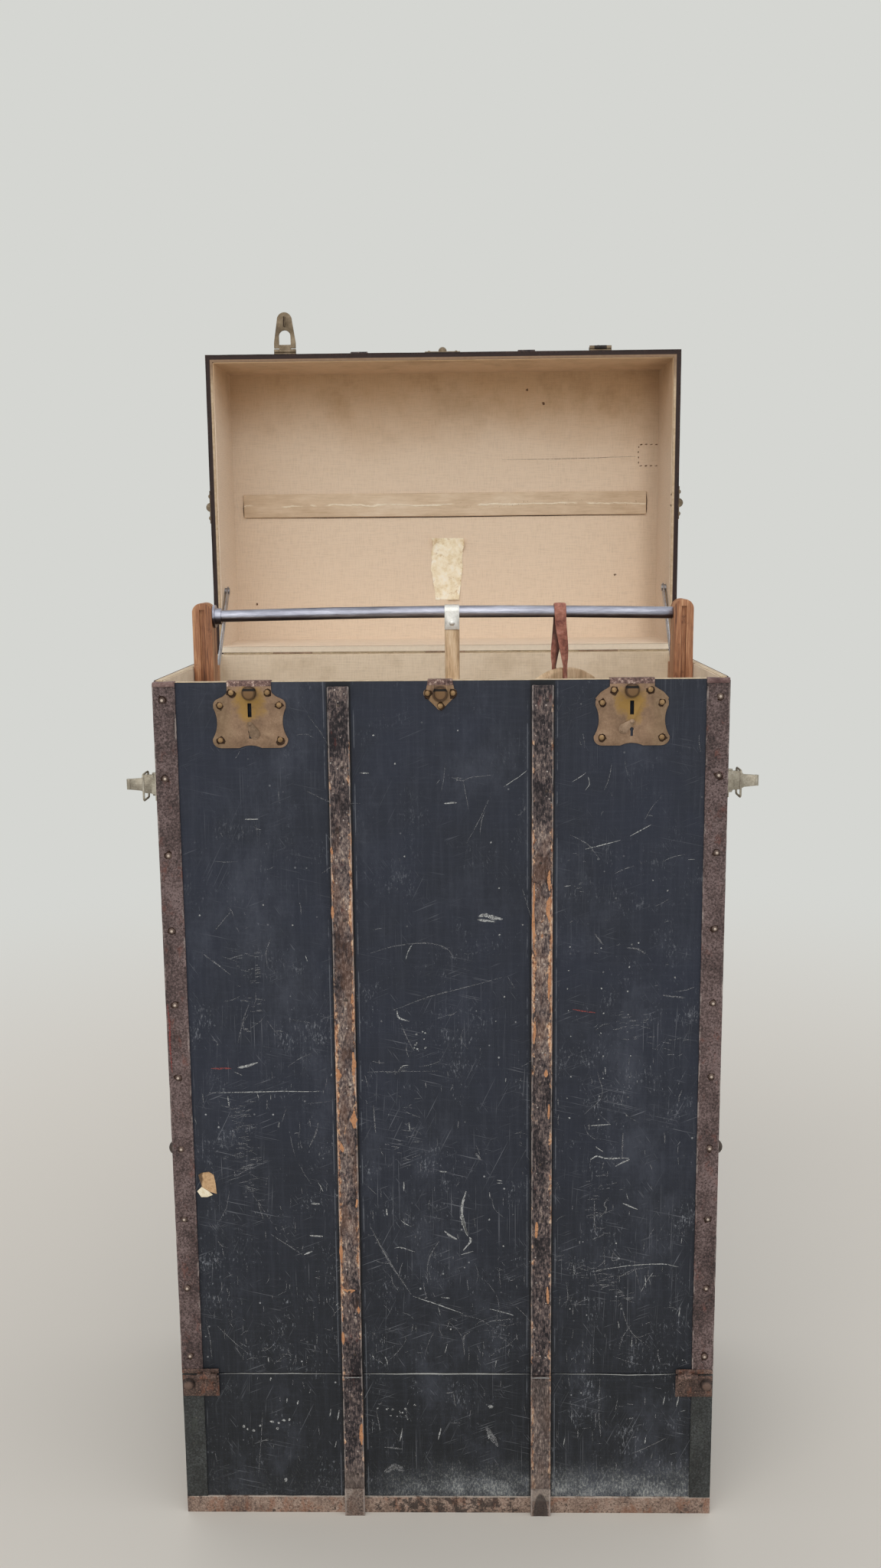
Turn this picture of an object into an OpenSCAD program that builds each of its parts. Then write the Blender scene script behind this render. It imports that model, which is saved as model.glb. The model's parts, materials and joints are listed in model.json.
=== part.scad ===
// Upright cabin trunk with a lift-up lid, a drop-front door and a hanging rail.
// Millimetres, +Z up, front towards -Y. The origin is the centre of the underside.

/* [Case] */
// Overall width across the edge binding
trunk_w = 700; // [640:1:800]
// Overall depth across the edge binding
trunk_d = 440; // [420:1:540]
// Height of the box from the floor to its rim
box_h = 1120; // [1080:1:1300]
// Depth of the lid tray from rim to outer top
lid_h = 155; // [140:1:200]
// Thickness of the plywood side, back and lid walls
panel_t = 8; // [6:0.5:9]
// Thickness of the plywood door and of the fixed front below it
door_t = 10; // [8:0.5:11]
// Thickness of the linen lining
lining_t = 1.5; // [1:0.1:2]
// Height of the seam between the door and the fixed front
seam_z = 203; // [180:1:240]
// Gap at the door seam
seam_gap = 1; // [0.6:0.1:2]
// Gap between the lid rim and the box rim when the lid is shut
lid_gap = 0.3; // [0.2:0.1:0.6]

/* [Binding and slats] */
// Thickness of the metal edge binding
edge_t = 2.5; // [2:0.1:3]
// Width of the corner strips on the front
strip_w = 28; // [22:1:36]
// Height of the binding round the base
base_bind_h = 23; // [18:1:30]
// Width of the binding along the rims
rim_band_h = 15; // [12:1:18]
// Half the distance between the two front slats
slat_x = 124; // [115:1:140]
// Width of a wooden slat
slat_w = 26; // [20:1:32]
// Thickness of a wooden slat
slat_t = 7; // [5:0.5:7]
// Distance between the strip rivets
rivet_pitch = 96.4; // [90:0.1:100]
// Radius of a strip rivet
rivet_r = 4.2; // [3:0.1:5]

/* [Locks and catches] */
// Distance of each lock from the centre line
lock_x = 232; // [205:1:240]
// Width of a lock plate
plate_w = 90; // [80:1:96]
// Height of a lock plate below the door's top edge
plate_h = 81; // [76:1:90]
// Thickness of the lock and catch plates
plate_t = 1.2; // [0.8:0.1:1.5]
// Length of a hasp from its pivot
hasp_l = 55; // [54:1:60]
// Width of a hasp
hasp_w = 32; // [28:1:34]
// Thickness of a hasp
hasp_t = 2.5; // [2:0.1:2.6]
// Depth of the side draw latches below the box rim
latch_drop = 130; // [100:1:200]
// Length of a draw latch lever
lever_l = 33; // [26:1:40]

/* [Handles and studs] */
// Height of the side handles above the floor
handle_z = 640; // [600:1:700]
// Half the length of a handle
handle_half = 74; // [68:1:80]
// How far a handle bows out
handle_rise = 15; // [12:0.5:18]
// Width of a handle
handle_w = 24; // [20:1:28]
// Thickness of a handle
handle_t = 5; // [4:0.5:6]
// Size of a handle's square end plate
handle_plate = 34; // [30:1:40]
// Height of the side studs above the floor
stud_z = 510; // [480:1:560]
// Radius of a side stud
stud_r = 9.5; // [8:0.5:11]

/* [Rail and hangers] */
// Length of a rail arm below the box rim
arm_below = 180; // [150:5:220]
// Radius of the hanging rail
rail_r = 8; // [7:0.5:9]
// Height of the rail's ends above the box rim
rail_up = 67.5; // [60:0.5:75]
// How far the rail's middle bows up
rail_bow = 4; // [2:0.5:6]
// Width of a rail arm
arm_w = 26; // [22:1:28]
// Depth of a rail arm
arm_d = 36; // [32:1:44]
// Place of the clip hanger along the rail
clip_x = 13; // [5:1:20]
// Place of the strap hanger along the rail
strap_x = 159; // [150:1:175]
// Half the length of a hanger
hanger_half = 172; // [150:1:172]

/* [Stays] */
// Distance of both stay pins from the lid hinge
stay_r = 100; // [90:1:110]
// Half the angle between the stay pins when the lid is shut
stay_a = 20; // [18:1:24]

/* [Hidden] */
$fn = 40;

// Radial clearance of a pin in its bore
run_gap = 0.08;
// Clearance between pieces that slide or pass each other
slide_gap = 0.3;
// Outer faces of the panels, behind the binding
face_x = trunk_w / 2 - edge_t;
face_y = trunk_d / 2 - edge_t;
bind_x = trunk_w / 2;
bind_y = trunk_d / 2;
// Inner faces of the panels and of the lining
wall_x = face_x - panel_t;
lined_x = wall_x - lining_t;
back_y = face_y - panel_t;
door_back_y = -face_y + door_t;
door_lined_y = door_back_y + lining_t;
side_front_y = door_back_y + slide_gap;
base_t = 10;
// How far the lining stops short of a rim
lining_short = 0.6;
door_top = box_h - 1.5;
door_z0 = seam_z + seam_gap / 2;
low_z1 = seam_z - seam_gap / 2;
strip_top = door_top - 1.5;
slat_top = door_top - 6.5;
// Hinge axis of the door, just in front of the slats
drop_y = -face_y - slat_t - 1.5;
drop_r = 3.5;
drop_pin_r = 1.3;
drop_leaf_t = 1.6;
drop_leaf_w = 48;
drop_leaf_h = 31;
// Hinge axis of the lid, at the back rim
lid_y = bind_y;
lid_z = box_h + lid_gap / 2;
lid_z0 = box_h + lid_gap;
lid_z1 = lid_z0 + lid_h;
lid_hinge_r = edge_t;
lid_hinge_xs = [-lock_x, 0, lock_x];
// Hasp pivot on the shut lid
hasp_y = -bind_y - 4.5;
hasp_z = lid_z0 + 5;
hasp_r = 3;
hasp_pin_r = 1.4;
// Hood on a lock plate, which the shut hasp's window goes round
hood_z = hasp_z - 20.5;
hood_r = 8;
// Side slats, just outside the end plates of the handles
handle_seat = 8;
side_slat_y = handle_half - handle_seat + handle_plate - 4 + slat_w / 2 + 1;
// Draw latch pivots beside the front corners
latch_z = box_h - latch_drop;
latch_x = bind_x + 5.5;
latch_y = -bind_y + 24;
latch_pin_r = 1.8;
ear_in = 12.3;
ear_out = 14.3;
loop_arm = 9;
loop_reach = 27.6;
loop_half = 16.2;
wire_r = 1.3;
// Rail and its arms
rail_z = box_h + rail_up;
rail_mid_z = rail_z + rail_bow;
arm_out = lined_x - 1;
arm_in = arm_out - arm_w;
arm_z0 = box_h - arm_below;
groove_w = 6.8;
groove_d = 4;
// The bowed stretch stops just short of the arms, where the tube is turned down
rail_end_r = rail_r - 0.8;
bow_half = arm_in - 0.4;
bow_r = (bow_half * bow_half + rail_bow * rail_bow) / (2 * rail_bow);
bow_a = 2 * asin(bow_half / bow_r);
loop_gap = 0.3;
clip_t = 1.2;
clip_w = 20;
strap_t = 2.3;
strap_w = 19;
strap_turn = -25;
strap_hanger_t = 14;
// Lid stays
stay_x = lined_x - 3.5;
stay_t = 2;
stay_w = 14;
stay_pin_r = 2.5;
stay_y = stay_r * sin(stay_a);
stay_z = stay_r * cos(stay_a);
stay_shut = 2 * stay_r * sin(stay_a);
stay_full = 2 * stay_r * sin(stay_a + 45);

// A box given by its two opposite corners
module span(a, b) {
    translate(a) cube(b - a);
}

// Both mirror images of the children about the centre plane
module both() {
    children();
    mirror([1, 0, 0]) children();
}

// A spherical cap of radius r and height h standing on the XY plane
module dome(r, h) {
    ball = (r * r + h * h) / (2 * h);
    rotate_extrude($fn = 40) intersection() {
        translate([0, h - ball]) circle(ball, $fn = 96);
        square([r + 1, h + 1]);
    }
}

// A cap on a front face, pointing to -Y
module front_dome(x, y, z, r, h) {
    translate([x, y, z]) rotate([90, 0, 0]) dome(r, h);
}

// A cap on a left-hand face, pointing to -X
module left_dome(x, y, z, r, h) {
    translate([x, y, z]) rotate([0, -90, 0]) dome(r, h);
}

// A round bar along X between two places
module bar_x(x0, x1, y, z, r) {
    translate([x0, y, z]) rotate([0, 90, 0]) cylinder(h = x1 - x0, r = r);
}

// The children of a shut lid, swung up to the open rest pose
module lid_open() {
    translate([0, lid_y, lid_z]) rotate([-90, 0, 0]) translate([0, -lid_y, -lid_z]) children();
}

// Box

module base_board() {
    color("tan") span([-wall_x, door_back_y, 0], [wall_x, back_y, base_t]);
}

module left_side() {
    color("tan") span([-face_x, side_front_y, 0], [-wall_x, back_y, box_h]);
}

module right_side() {
    color("tan") mirror([1, 0, 0]) span([-face_x, side_front_y, 0], [-wall_x, back_y, box_h]);
}

module back_panel() {
    color("tan") span([-face_x, back_y, 0], [face_x, face_y, box_h]);
}

module lower_front() {
    color("#2e3236") span([-face_x, -face_y, 0], [face_x, door_back_y, low_z1]);
}

// Linen sheets on the two sides, the back, the floor and the fixed front
module box_lining() {
    top = box_h - lining_short;
    color("#c9b593") {
        both() span([-wall_x, door_lined_y, base_t], [-lined_x, back_y, top]);
        span([-lined_x, back_y - lining_t, base_t], [lined_x, back_y, top]);
        span([-lined_x, door_lined_y, base_t], [lined_x, back_y - lining_t, base_t + lining_t]);
        span([-wall_x, door_back_y, base_t], [wall_x, door_lined_y, low_z1 - lining_short]);
    }
}

// Metal band round the base, with a raised foot under each front slat
module base_binding() {
    h = base_bind_h;
    color("#5a3f33") {
        span([-bind_x, -bind_y, 0], [bind_x, -face_y, h]);
        span([-bind_x, face_y, 0], [bind_x, bind_y, h]);
        both() span([-bind_x, -face_y, 0], [-face_x, face_y, h]);
        both() span([slat_x - 13, -bind_y - slat_t, 0], [slat_x + 13, -bind_y, h + 16]);
    }
}

// Angle strips on the lower front corners and up the whole back corners
module corner_strips() {
    z0 = base_bind_h;
    z1 = box_h - rim_band_h;
    color("#3b3734") both() {
        span([-bind_x, -bind_y, z0], [-bind_x + strip_w, -face_y, low_z1]);
        span([-bind_x, -face_y, z0], [-face_x, -bind_y + strip_w, low_z1]);
        span([-bind_x, face_y, z0], [-bind_x + strip_w, bind_y, z1]);
        span([-bind_x, bind_y - strip_w, z0], [-face_x, face_y, z1]);
    }
}

// Strips up the front edge of each side panel and along its rim
module side_edging() {
    rim_z = box_h - rim_band_h;
    color("#4a3d38") both() {
        span([-bind_x, side_front_y, low_z1], [-face_x, side_front_y + strip_w + 2, rim_z]);
        span([-bind_x, side_front_y, rim_z], [-face_x, face_y, box_h]);
    }
}

module lower_slats() {
    z0 = base_bind_h + 16;
    y1 = -face_y - slat_t;
    cap = 5;
    color("#3d332b") both() {
        span([slat_x - slat_w / 2, y1, z0], [slat_x + slat_w / 2, -face_y, low_z1 - cap]);
        span([slat_x - slat_w / 2, y1 - 0.8, low_z1 - cap], [slat_x + slat_w / 2, -face_y, low_z1]);
    }
}

// Upright slats on the back and on the two sides
module outer_slats() {
    z0 = base_bind_h;
    z1 = box_h - 50;
    color("#3d332b") both() {
        span([slat_x - slat_w / 2, face_y, z0], [slat_x + slat_w / 2, face_y + slat_t, z1]);
        for (y = [-side_slat_y, side_slat_y])
            span([-face_x - slat_t, y - slat_w / 2, z0], [-face_x, y + slat_w / 2, z1]);
    }
}

// One fixed leaf of the door hinge on the left, with its ball stud and pin
module seam_leaf() {
    x0 = -bind_x + 1;
    face = -bind_y - drop_leaf_t;
    span([x0, face, seam_z - drop_leaf_h], [x0 + drop_leaf_w, -bind_y, low_z1 - 1]);
    for (x = [x0 + 20, x0 + 38]) {
        bar_x(x, x + 8, drop_y, seam_z, drop_r);
        span([x, drop_y, seam_z - 8], [x + 8, face, seam_z - 2]);
    }
    bar_x(x0 + 18, x0 + 48, drop_y, seam_z, drop_pin_r);
    front_dome(x0 + 8, face, seam_z - 13, 8, 7.5);
    for (p = [[22, -24], [42, -24], [42, -14]])
        front_dome(x0 + p[0], face, seam_z + p[1], 2.2, 1.6);
}

module seam_hinge_leaves() {
    color("#6b4636") both() seam_leaf();
}

// The moving leaf on the door, with one knuckle between the fixed ones
module door_hinge_leaf() {
    x0 = -bind_x + 1;
    x1 = x0 + 28 + slide_gap;
    x2 = x0 + 38 - slide_gap;
    face = -bind_y - drop_leaf_t;
    span([x0, face, door_z0 + 1], [x0 + drop_leaf_w, -bind_y, door_z0 + 7]);
    difference() {
        union() {
            bar_x(x1, x2, drop_y, seam_z, drop_r);
            span([x1, drop_y, seam_z + 2], [x2, face, seam_z + 6]);
        }
        bar_x(x1 - 1, x2 + 1, drop_y, seam_z, drop_pin_r + run_gap);
    }
}

module door_hinge_leaves() {
    color("#6b4636") both() door_hinge_leaf();
}

// Knuckle width of a lid hinge, which has three on the box and two on the lid
lid_knuckle = 12;
lid_leaf = 2.5 * lid_knuckle;
lid_leaf_h = 34;
lid_leaf_t = 1.5;
lid_pin_r = 1.2;

module lid_hinge_box_leaves() {
    color("#4b4440") for (x = lid_hinge_xs) translate([x, 0, 0]) {
        span([-lid_leaf, face_y, box_h - lid_leaf_h], [lid_leaf, face_y + lid_leaf_t, box_h - 3]);
        for (i = [-2, 0, 2]) {
            x0 = (i - 0.5) * lid_knuckle + slide_gap / 2;
            x1 = (i + 0.5) * lid_knuckle - slide_gap / 2;
            bar_x(x0, x1, lid_y, lid_z, lid_hinge_r);
            span([x0, face_y, box_h - 4], [x1, face_y + lid_leaf_t, lid_z - 0.5]);
        }
        bar_x(-lid_leaf, lid_leaf, lid_y, lid_z, lid_pin_r);
    }
}

module lid_hinge_leaves() {
    color("#4b4440") lid_open() for (x = lid_hinge_xs) translate([x, 0, 0]) {
        span([-lid_leaf, face_y, lid_z0 + 3], [lid_leaf, face_y + lid_leaf_t, lid_z0 + lid_leaf_h]);
        for (i = [-1, 1]) difference() {
            x0 = (i - 0.5) * lid_knuckle + slide_gap / 2;
            x1 = (i + 0.5) * lid_knuckle - slide_gap / 2;
            union() {
                bar_x(x0, x1, lid_y, lid_z, lid_hinge_r);
                span([x0, face_y, lid_z + 0.5], [x1, face_y + lid_leaf_t, lid_z0 + 4]);
            }
            bar_x(x0 - 1, x1 + 1, lid_y, lid_z, lid_pin_r + run_gap);
        }
    }
}

// Side handles, bowed out between their end plates
module handle_straps() {
    r = (handle_half * handle_half + handle_rise * handle_rise) / (2 * handle_rise);
    color("#3a2a20") both() translate([-face_x - 1.5, 0, handle_z - handle_w / 2])
        linear_extrude(handle_w) intersection() {
            translate([r - handle_rise, 0]) difference() {
                circle(r, $fn = 360);
                circle(r - handle_t, $fn = 360);
            }
            translate([-handle_rise - 1, -handle_half]) square([handle_rise + 1, 2 * handle_half]);
        }
}

module handle_fittings() {
    wide = handle_plate - 4;
    high = handle_plate / 2;
    color("#3b3734") both() for (s = [-1, 1]) {
        y0 = s * (handle_half - handle_seat) - (s < 0 ? wide : 0);
        span([-face_x - 1.5, y0, handle_z - high], [-face_x, y0 + wide, handle_z + high]);
        yr = s * (handle_half + 13);
        for (dz = [-10, 10]) left_dome(-face_x - 1.5, yr, handle_z + dz, 3.2, 2.2);
    }
}

// Buffer studs on the side panels near the front edge
module side_studs() {
    color("#3b3734") both() left_dome(-bind_x, side_front_y + 12, stud_z, stud_r, stud_r - 0.5);
}

// Base plates of the draw latches, each with two ears and a fixed pin
module latch_base() {
    x1 = -bind_x - 1.5;
    y0 = side_front_y + 1;
    span([x1, y0, latch_z - 22], [-bind_x, y0 + 27, latch_z + 22]);
    for (s = [-1, 1]) {
        z0 = s > 0 ? latch_z + ear_in : latch_z - ear_out;
        ear_h = ear_out - ear_in;
        translate([-latch_x, latch_y, z0]) cylinder(h = ear_h, r = 4);
        span([-latch_x, latch_y - 4, z0], [x1, latch_y + 4, z0 + ear_h]);
        left_dome(x1, y0 + 13.5, latch_z + s * 18, 2.4, 1.6);
    }
    translate([-latch_x, latch_y, latch_z - ear_out]) cylinder(h = 2 * ear_out, r = latch_pin_r);
}

module latch_bases() {
    color("silver") both() latch_base();
}

// A lever pointing out from the left side, with bores for its pin and its loop
module lever() {
    root_h = 2 * (ear_in - slide_gap);
    tip = lever_l;
    color("silver") translate([-latch_x, latch_y, latch_z]) difference() {
        union() {
            translate([0, 0, -root_h / 2]) cylinder(h = root_h, r = 3.6);
            translate([0, 2.4, 0]) rotate([90, 0, 0]) linear_extrude(4.8) polygon([
                [0, -root_h / 2], [0, root_h / 2], [-13, root_h / 2], [-18, 7.5],
                [-tip, 6.5], [-tip, -6.5], [-18, -8], [-13, -root_h / 2 + 1]]);
            translate([-tip, 0, -6.5]) cylinder(h = 13, r = 3.2);
        }
        translate([0, 0, -20]) cylinder(h = 40, r = latch_pin_r + run_gap);
        translate([-loop_arm, 0, -20]) cylinder(h = 40, r = wire_r + run_gap);
    }
}

module latch_lever_left() { lever(); }

module latch_lever_right() { mirror([1, 0, 0]) lever(); }

// A wire loop that hangs on the open lever and points forward
module wire_loop() {
    bend = 3.4;
    y_mid = latch_y - loop_reach / 2;
    half = loop_reach / 2 - bend;
    tall = loop_half - bend;
    color("silver") translate([-latch_x - loop_arm, y_mid, latch_z]) rotate([0, -90, 0]) {
        for (s = [-1, 1]) {
            translate([-tall, s * loop_reach / 2, 0]) rotate([0, 90, 0])
                cylinder(h = 2 * tall, r = wire_r);
            translate([s * loop_half, half, 0]) rotate([90, 0, 0])
                cylinder(h = 2 * half, r = wire_r);
        }
        for (q = [0:3]) {
            sx = q == 0 || q == 3 ? 1 : -1;
            sy = q < 2 ? 1 : -1;
            translate([sx * tall, sy * half, 0]) rotate([0, 0, 90 * q])
                rotate_extrude(angle = 90, $fn = 96) translate([bend, 0]) circle(wire_r);
        }
    }
}

module latch_loop_left() { wire_loop(); }

module latch_loop_right() { mirror([1, 0, 0]) wire_loop(); }

// Wooden guides that hold the rail arms, with a tongue in each arm's groove
module arm_guides() {
    deep = 16;
    y0 = arm_d / 2 + slide_gap;
    back_top = box_h - 1;
    drop = 22;
    shelf = 16;
    front_top = box_h - drop;
    mid = arm_out - arm_w / 2;
    tongue = groove_w / 2 - slide_gap;
    color("#8a5a38") both() {
        span([-lined_x, y0, arm_z0], [-arm_in, y0 + deep, back_top]);
        span([-lined_x, -y0 - deep, arm_z0], [-arm_in, -y0, front_top]);
        span([-lined_x, -y0 - deep, arm_z0 - shelf], [-arm_in, y0 + deep, arm_z0]);
        span([-mid - tongue, y0 - groove_d + slide_gap, arm_z0], [-mid + tongue, y0, back_top]);
        span([-mid - tongue, -y0, arm_z0], [-mid + tongue, -y0 + groove_d - slide_gap, front_top]);
    }
}

// Pins with washers on the box sides, in the slots of the lid stays
module stay_pin(y, z) {
    washer = lined_x - stay_x - slide_gap / 2;
    bar_x(-lined_x, -lined_x + washer, y, z, 5);
    bar_x(-lined_x, -stay_x + stay_t + 1.4, y, z, stay_pin_r);
    bar_x(-stay_x + stay_t + slide_gap / 2, -stay_x + stay_t + 1.4, y, z, 5);
}

module stay_box_pins() {
    color("silver") both() stay_pin(lid_y - stay_z, lid_z - stay_y);
}

module stay_lid_pins() {
    color("silver") both() stay_pin(lid_y + stay_y, lid_z + stay_z);
}

// A slotted bar from the lid pin down to the box pin, drawn at rest
module stay() {
    half = stay_w / 2;
    slot = stay_pin_r + run_gap;
    color("#9a9ca0") translate([-stay_x, lid_y + stay_y, lid_z + stay_z]) rotate([225, 0, 0])
        rotate([90, 0, 90]) linear_extrude(stay_t) difference() {
            union() {
                circle(half);
                translate([stay_full + 6, 0]) circle(half);
                translate([0, -half]) square([stay_full + 6, stay_w]);
            }
            circle(slot);
            translate([stay_shut, 0]) circle(slot);
            translate([stay_full, 0]) circle(slot);
            translate([stay_shut, -slot]) square([stay_full - stay_shut, 2 * slot]);
        }
}

module stay_left() { stay(); }

module stay_right() { mirror([1, 0, 0]) stay(); }

// Door

module door_panel() {
    pocket = 6;
    color("#33373d") difference() {
        span([-face_x, -face_y, door_z0], [face_x, door_back_y, door_top]);
        both() span([lock_x - pocket / 2, -face_y - 1, hasp_z - 52],
                    [lock_x + pocket / 2, -face_y + 8, hasp_z - 31]);
    }
}

module door_lining() {
    color("#c9b593") span([-lined_x + 1, door_back_y, door_z0 + lining_short],
                          [lined_x - 1, door_lined_y, door_top - lining_short]);
}

module door_slats() {
    color("#4a3326") both() span([slat_x - slat_w / 2, -face_y - slat_t, door_z0],
                                 [slat_x + slat_w / 2, -face_y, slat_top]);
}

// Corner strips of the door, wrapped over its side edges
module door_strips() {
    color("#4e403a") both() {
        span([-bind_x, -bind_y, door_z0], [-bind_x + strip_w, -face_y, strip_top]);
        span([-bind_x, -face_y, door_z0], [-face_x, door_back_y, strip_top]);
    }
}

module door_rivets() {
    first = box_h - 23.3;
    count = floor((first - seam_z - 20) / rivet_pitch);
    color("#5d4a40") both() for (i = [0:count])
        front_dome(-bind_x + 12, -bind_y, first - i * rivet_pitch, rivet_r, 2.4);
}

// Wavy outline of a lock plate, hanging from the origin
module plate_outline() {
    neck = 27;
    lobe_x = plate_w / 2 - 8.8;
    low = plate_h - 10.5;
    hollow = 38;
    difference() {
        union() {
            translate([-neck, -28]) square([2 * neck, 28]);
            translate([-lobe_x - 8, -low]) square([2 * lobe_x + 16, low - 28]);
            translate([-lobe_x, -plate_h]) square([2 * lobe_x, plate_h - 20]);
            for (s = [-1, 1]) {
                translate([s * lobe_x, -28.5]) circle(8);
                translate([s * lobe_x, -low - 0.5]) circle(9.8);
            }
        }
        for (s = [-1, 1]) {
            translate([s * (neck + 13.5), -7]) circle(13.2);
            translate([s * (plate_w / 2 - 5 + hollow), -(28 + low) / 2]) circle(hollow, $fn = 96);
        }
        translate([0, -plate_h - 26.7]) circle(30, $fn = 96);
    }
}

// Lock plate with its hasp slot, keyhole, hood and dome rivets
module lock_plate() {
    face = -face_y - plate_t;
    key_z = door_top - 61;
    slot_top = hasp_z - 33;
    color("#8a7350") {
        difference() {
            translate([0, -face_y, door_top]) rotate([90, 0, 0])
                linear_extrude(plate_t) plate_outline();
            span([-2.4, face - 1, slot_top - 17], [2.4, 0, slot_top]);
            translate([0, 0, key_z]) rotate([90, 0, 0]) cylinder(h = trunk_d, r = 2.4);
            span([-1.5, face - 1, key_z - 8.5], [1.5, 0, key_z]);
        }
        span([-27, face, door_top], [27, door_back_y, door_top + plate_t]);
        difference() {
            translate([0, face, hood_z]) rotate([90, 0, 0]) cylinder(h = 6, r = hood_r);
            translate([0, face - 1.2, hood_z]) rotate([90, 0, 0]) cylinder(h = 3.4, r = hood_r - 1.3);
            span([1.3 - hood_r, face - 4.6, hood_z], [hood_r - 1.3, face - 1.2, hood_z + hood_r + 1]);
        }
        for (s = [-1, 1]) {
            front_dome(s * 22, face, door_top - 13, 3, 2);
            front_dome(s * (plate_w / 2 - 9), face, door_top - 28.4, 3, 2);
            front_dome(s * (plate_w / 2 - 8.5), face, door_top - plate_h + 10, 3, 2);
        }
    }
}

module lock_plate_left() { translate([-lock_x, 0, 0]) lock_plate(); }

module lock_plate_right() { translate([lock_x, 0, 0]) lock_plate(); }

// Lock mechanisms in steel cases on the inside of the door
module lock_cases() {
    color("#6f6a60") both() span([lock_x - 32, door_lined_y, door_top - plate_h + 6],
                                 [lock_x + 32, door_lined_y + 9, door_top - 12]);
}

// Drop-shaped keyhole cover on its rivet, hanging from the origin
cover_pivot_z = door_top - 52;

module keyhole_cover() {
    color("#7d6b4c") {
        rotate([90, 0, 0]) linear_extrude(0.8) union() {
            circle(3.4);
            translate([0, -13]) circle(6.3);
            polygon([[-3.3, -0.8], [3.3, -0.8], [6.2, -12], [-6.2, -12]]);
        }
        translate([0, -0.8, 0]) rotate([90, 0, 0]) dome(2.4, 1.2);
        translate([0, -0.8, -16.5]) rotate([90, 0, 0]) dome(1.8, 1);
    }
}

module place_cover(x, turn) {
    translate([x, -face_y - plate_t - 0.2, cover_pivot_z]) rotate([0, turn, 0]) keyhole_cover();
}

module keyhole_cover_left() { place_cover(-lock_x, -25); }

module keyhole_cover_right() { place_cover(lock_x, 50); }

// Kite-shaped plate with an open-topped cup below the lid's dome
module centre_catch() {
    face = -face_y - plate_t;
    lobes = [[-15.3, -15.5], [15.3, -15.5], [0, -31]];
    cup_z = door_top - 16.5;
    color("#9c8f72") {
        translate([0, -face_y, door_top]) rotate([90, 0, 0]) linear_extrude(plate_t) union() {
            for (p = lobes) translate(p) circle(5.1);
            polygon([[-15, 0], [15, 0], [18.5, -19.2], [4.2, -33.6], [-4.2, -33.6], [-18.5, -19.2]]);
        }
        span([-15, face, door_top], [15, door_back_y, door_top + plate_t]);
        for (p = lobes) front_dome(p[0], face, door_top + p[1], 3, 2);
        difference() {
            union() {
                translate([0, face, cup_z]) rotate([90, 0, 0]) cylinder(h = 5, r = 9);
                span([-9, face - 5, cup_z], [9, face, door_top]);
            }
            translate([0, face + 1, cup_z]) rotate([90, 0, 0]) cylinder(h = 10, r = 7.4);
            span([-7.4, face - 7, cup_z], [7.4, face, door_top + 1]);
        }
    }
}

// Hook blocks on the door's side edges, inside the wire loops' reach
module door_keepers() {
    y1 = latch_y + loop_arm - loop_reach + wire_r + slide_gap;
    color("silver") both() {
        span([-bind_x - 1.2, -bind_y + 1, latch_z - 17], [-bind_x, door_back_y, latch_z + 17]);
        span([-bind_x - 7, y1, latch_z - 10], [-bind_x, y1 + 4, latch_z + 10]);
    }
}

// Lid, drawn shut and swung open

module lid_top() {
    color("#2e3236") lid_open()
        span([-face_x, -face_y, lid_z1 - panel_t], [face_x, face_y, lid_z1]);
}

module lid_front() {
    color("#2e3236") lid_open()
        span([-face_x, -face_y, lid_z0], [face_x, -face_y + panel_t, lid_z1 - panel_t]);
}

module lid_back() {
    color("#2e3236") lid_open()
        span([-face_x, face_y - panel_t, lid_z0], [face_x, face_y, lid_z1 - panel_t]);
}

module lid_left() {
    y = face_y - panel_t;
    color("#2e3236") lid_open() span([-face_x, -y, lid_z0], [-wall_x, y, lid_z1 - panel_t]);
}

module lid_right() { mirror([1, 0, 0]) lid_left(); }

module lid_lining() {
    y = face_y - panel_t;
    z0 = lid_z0 + lining_short;
    z1 = lid_z1 - panel_t;
    color("#cbb08a") lid_open() {
        span([-wall_x, -y, z1 - lining_t], [wall_x, y, z1]);
        both() span([-wall_x, -y, z0], [-lined_x, y, z1 - lining_t]);
        for (s = [-1, 1]) {
            y0 = s > 0 ? y - lining_t : -y;
            span([-lined_x, y0, z0], [lined_x, y0 + lining_t, z1 - lining_t]);
        }
    }
}

inside_z = lid_z1 - panel_t - lining_t;

// Wooden slat across the lid's inside, a little nearer its front than its back
module lid_inner_slat() {
    mid_y = -5;
    wide = 36;
    thick = 3.5;
    gap_left = 16;
    gap_right = 18;
    color("#c2a67e") lid_open()
        span([-lined_x + gap_left, mid_y - wide / 2, inside_z - thick],
             [lined_x - gap_right, mid_y + wide / 2, inside_z]);
}

// Bare paper label between the slat and the hinge side, pasted a little off the middle
module lid_label() {
    mid_x = 3;
    wide = 54;
    y0 = 47;
    tall = 99;
    thick = 0.5;
    color("#d8cba2") lid_open()
        span([mid_x - wide / 2, y0, inside_z - thick], [mid_x + wide / 2, y0 + tall, inside_z]);
}

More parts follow.
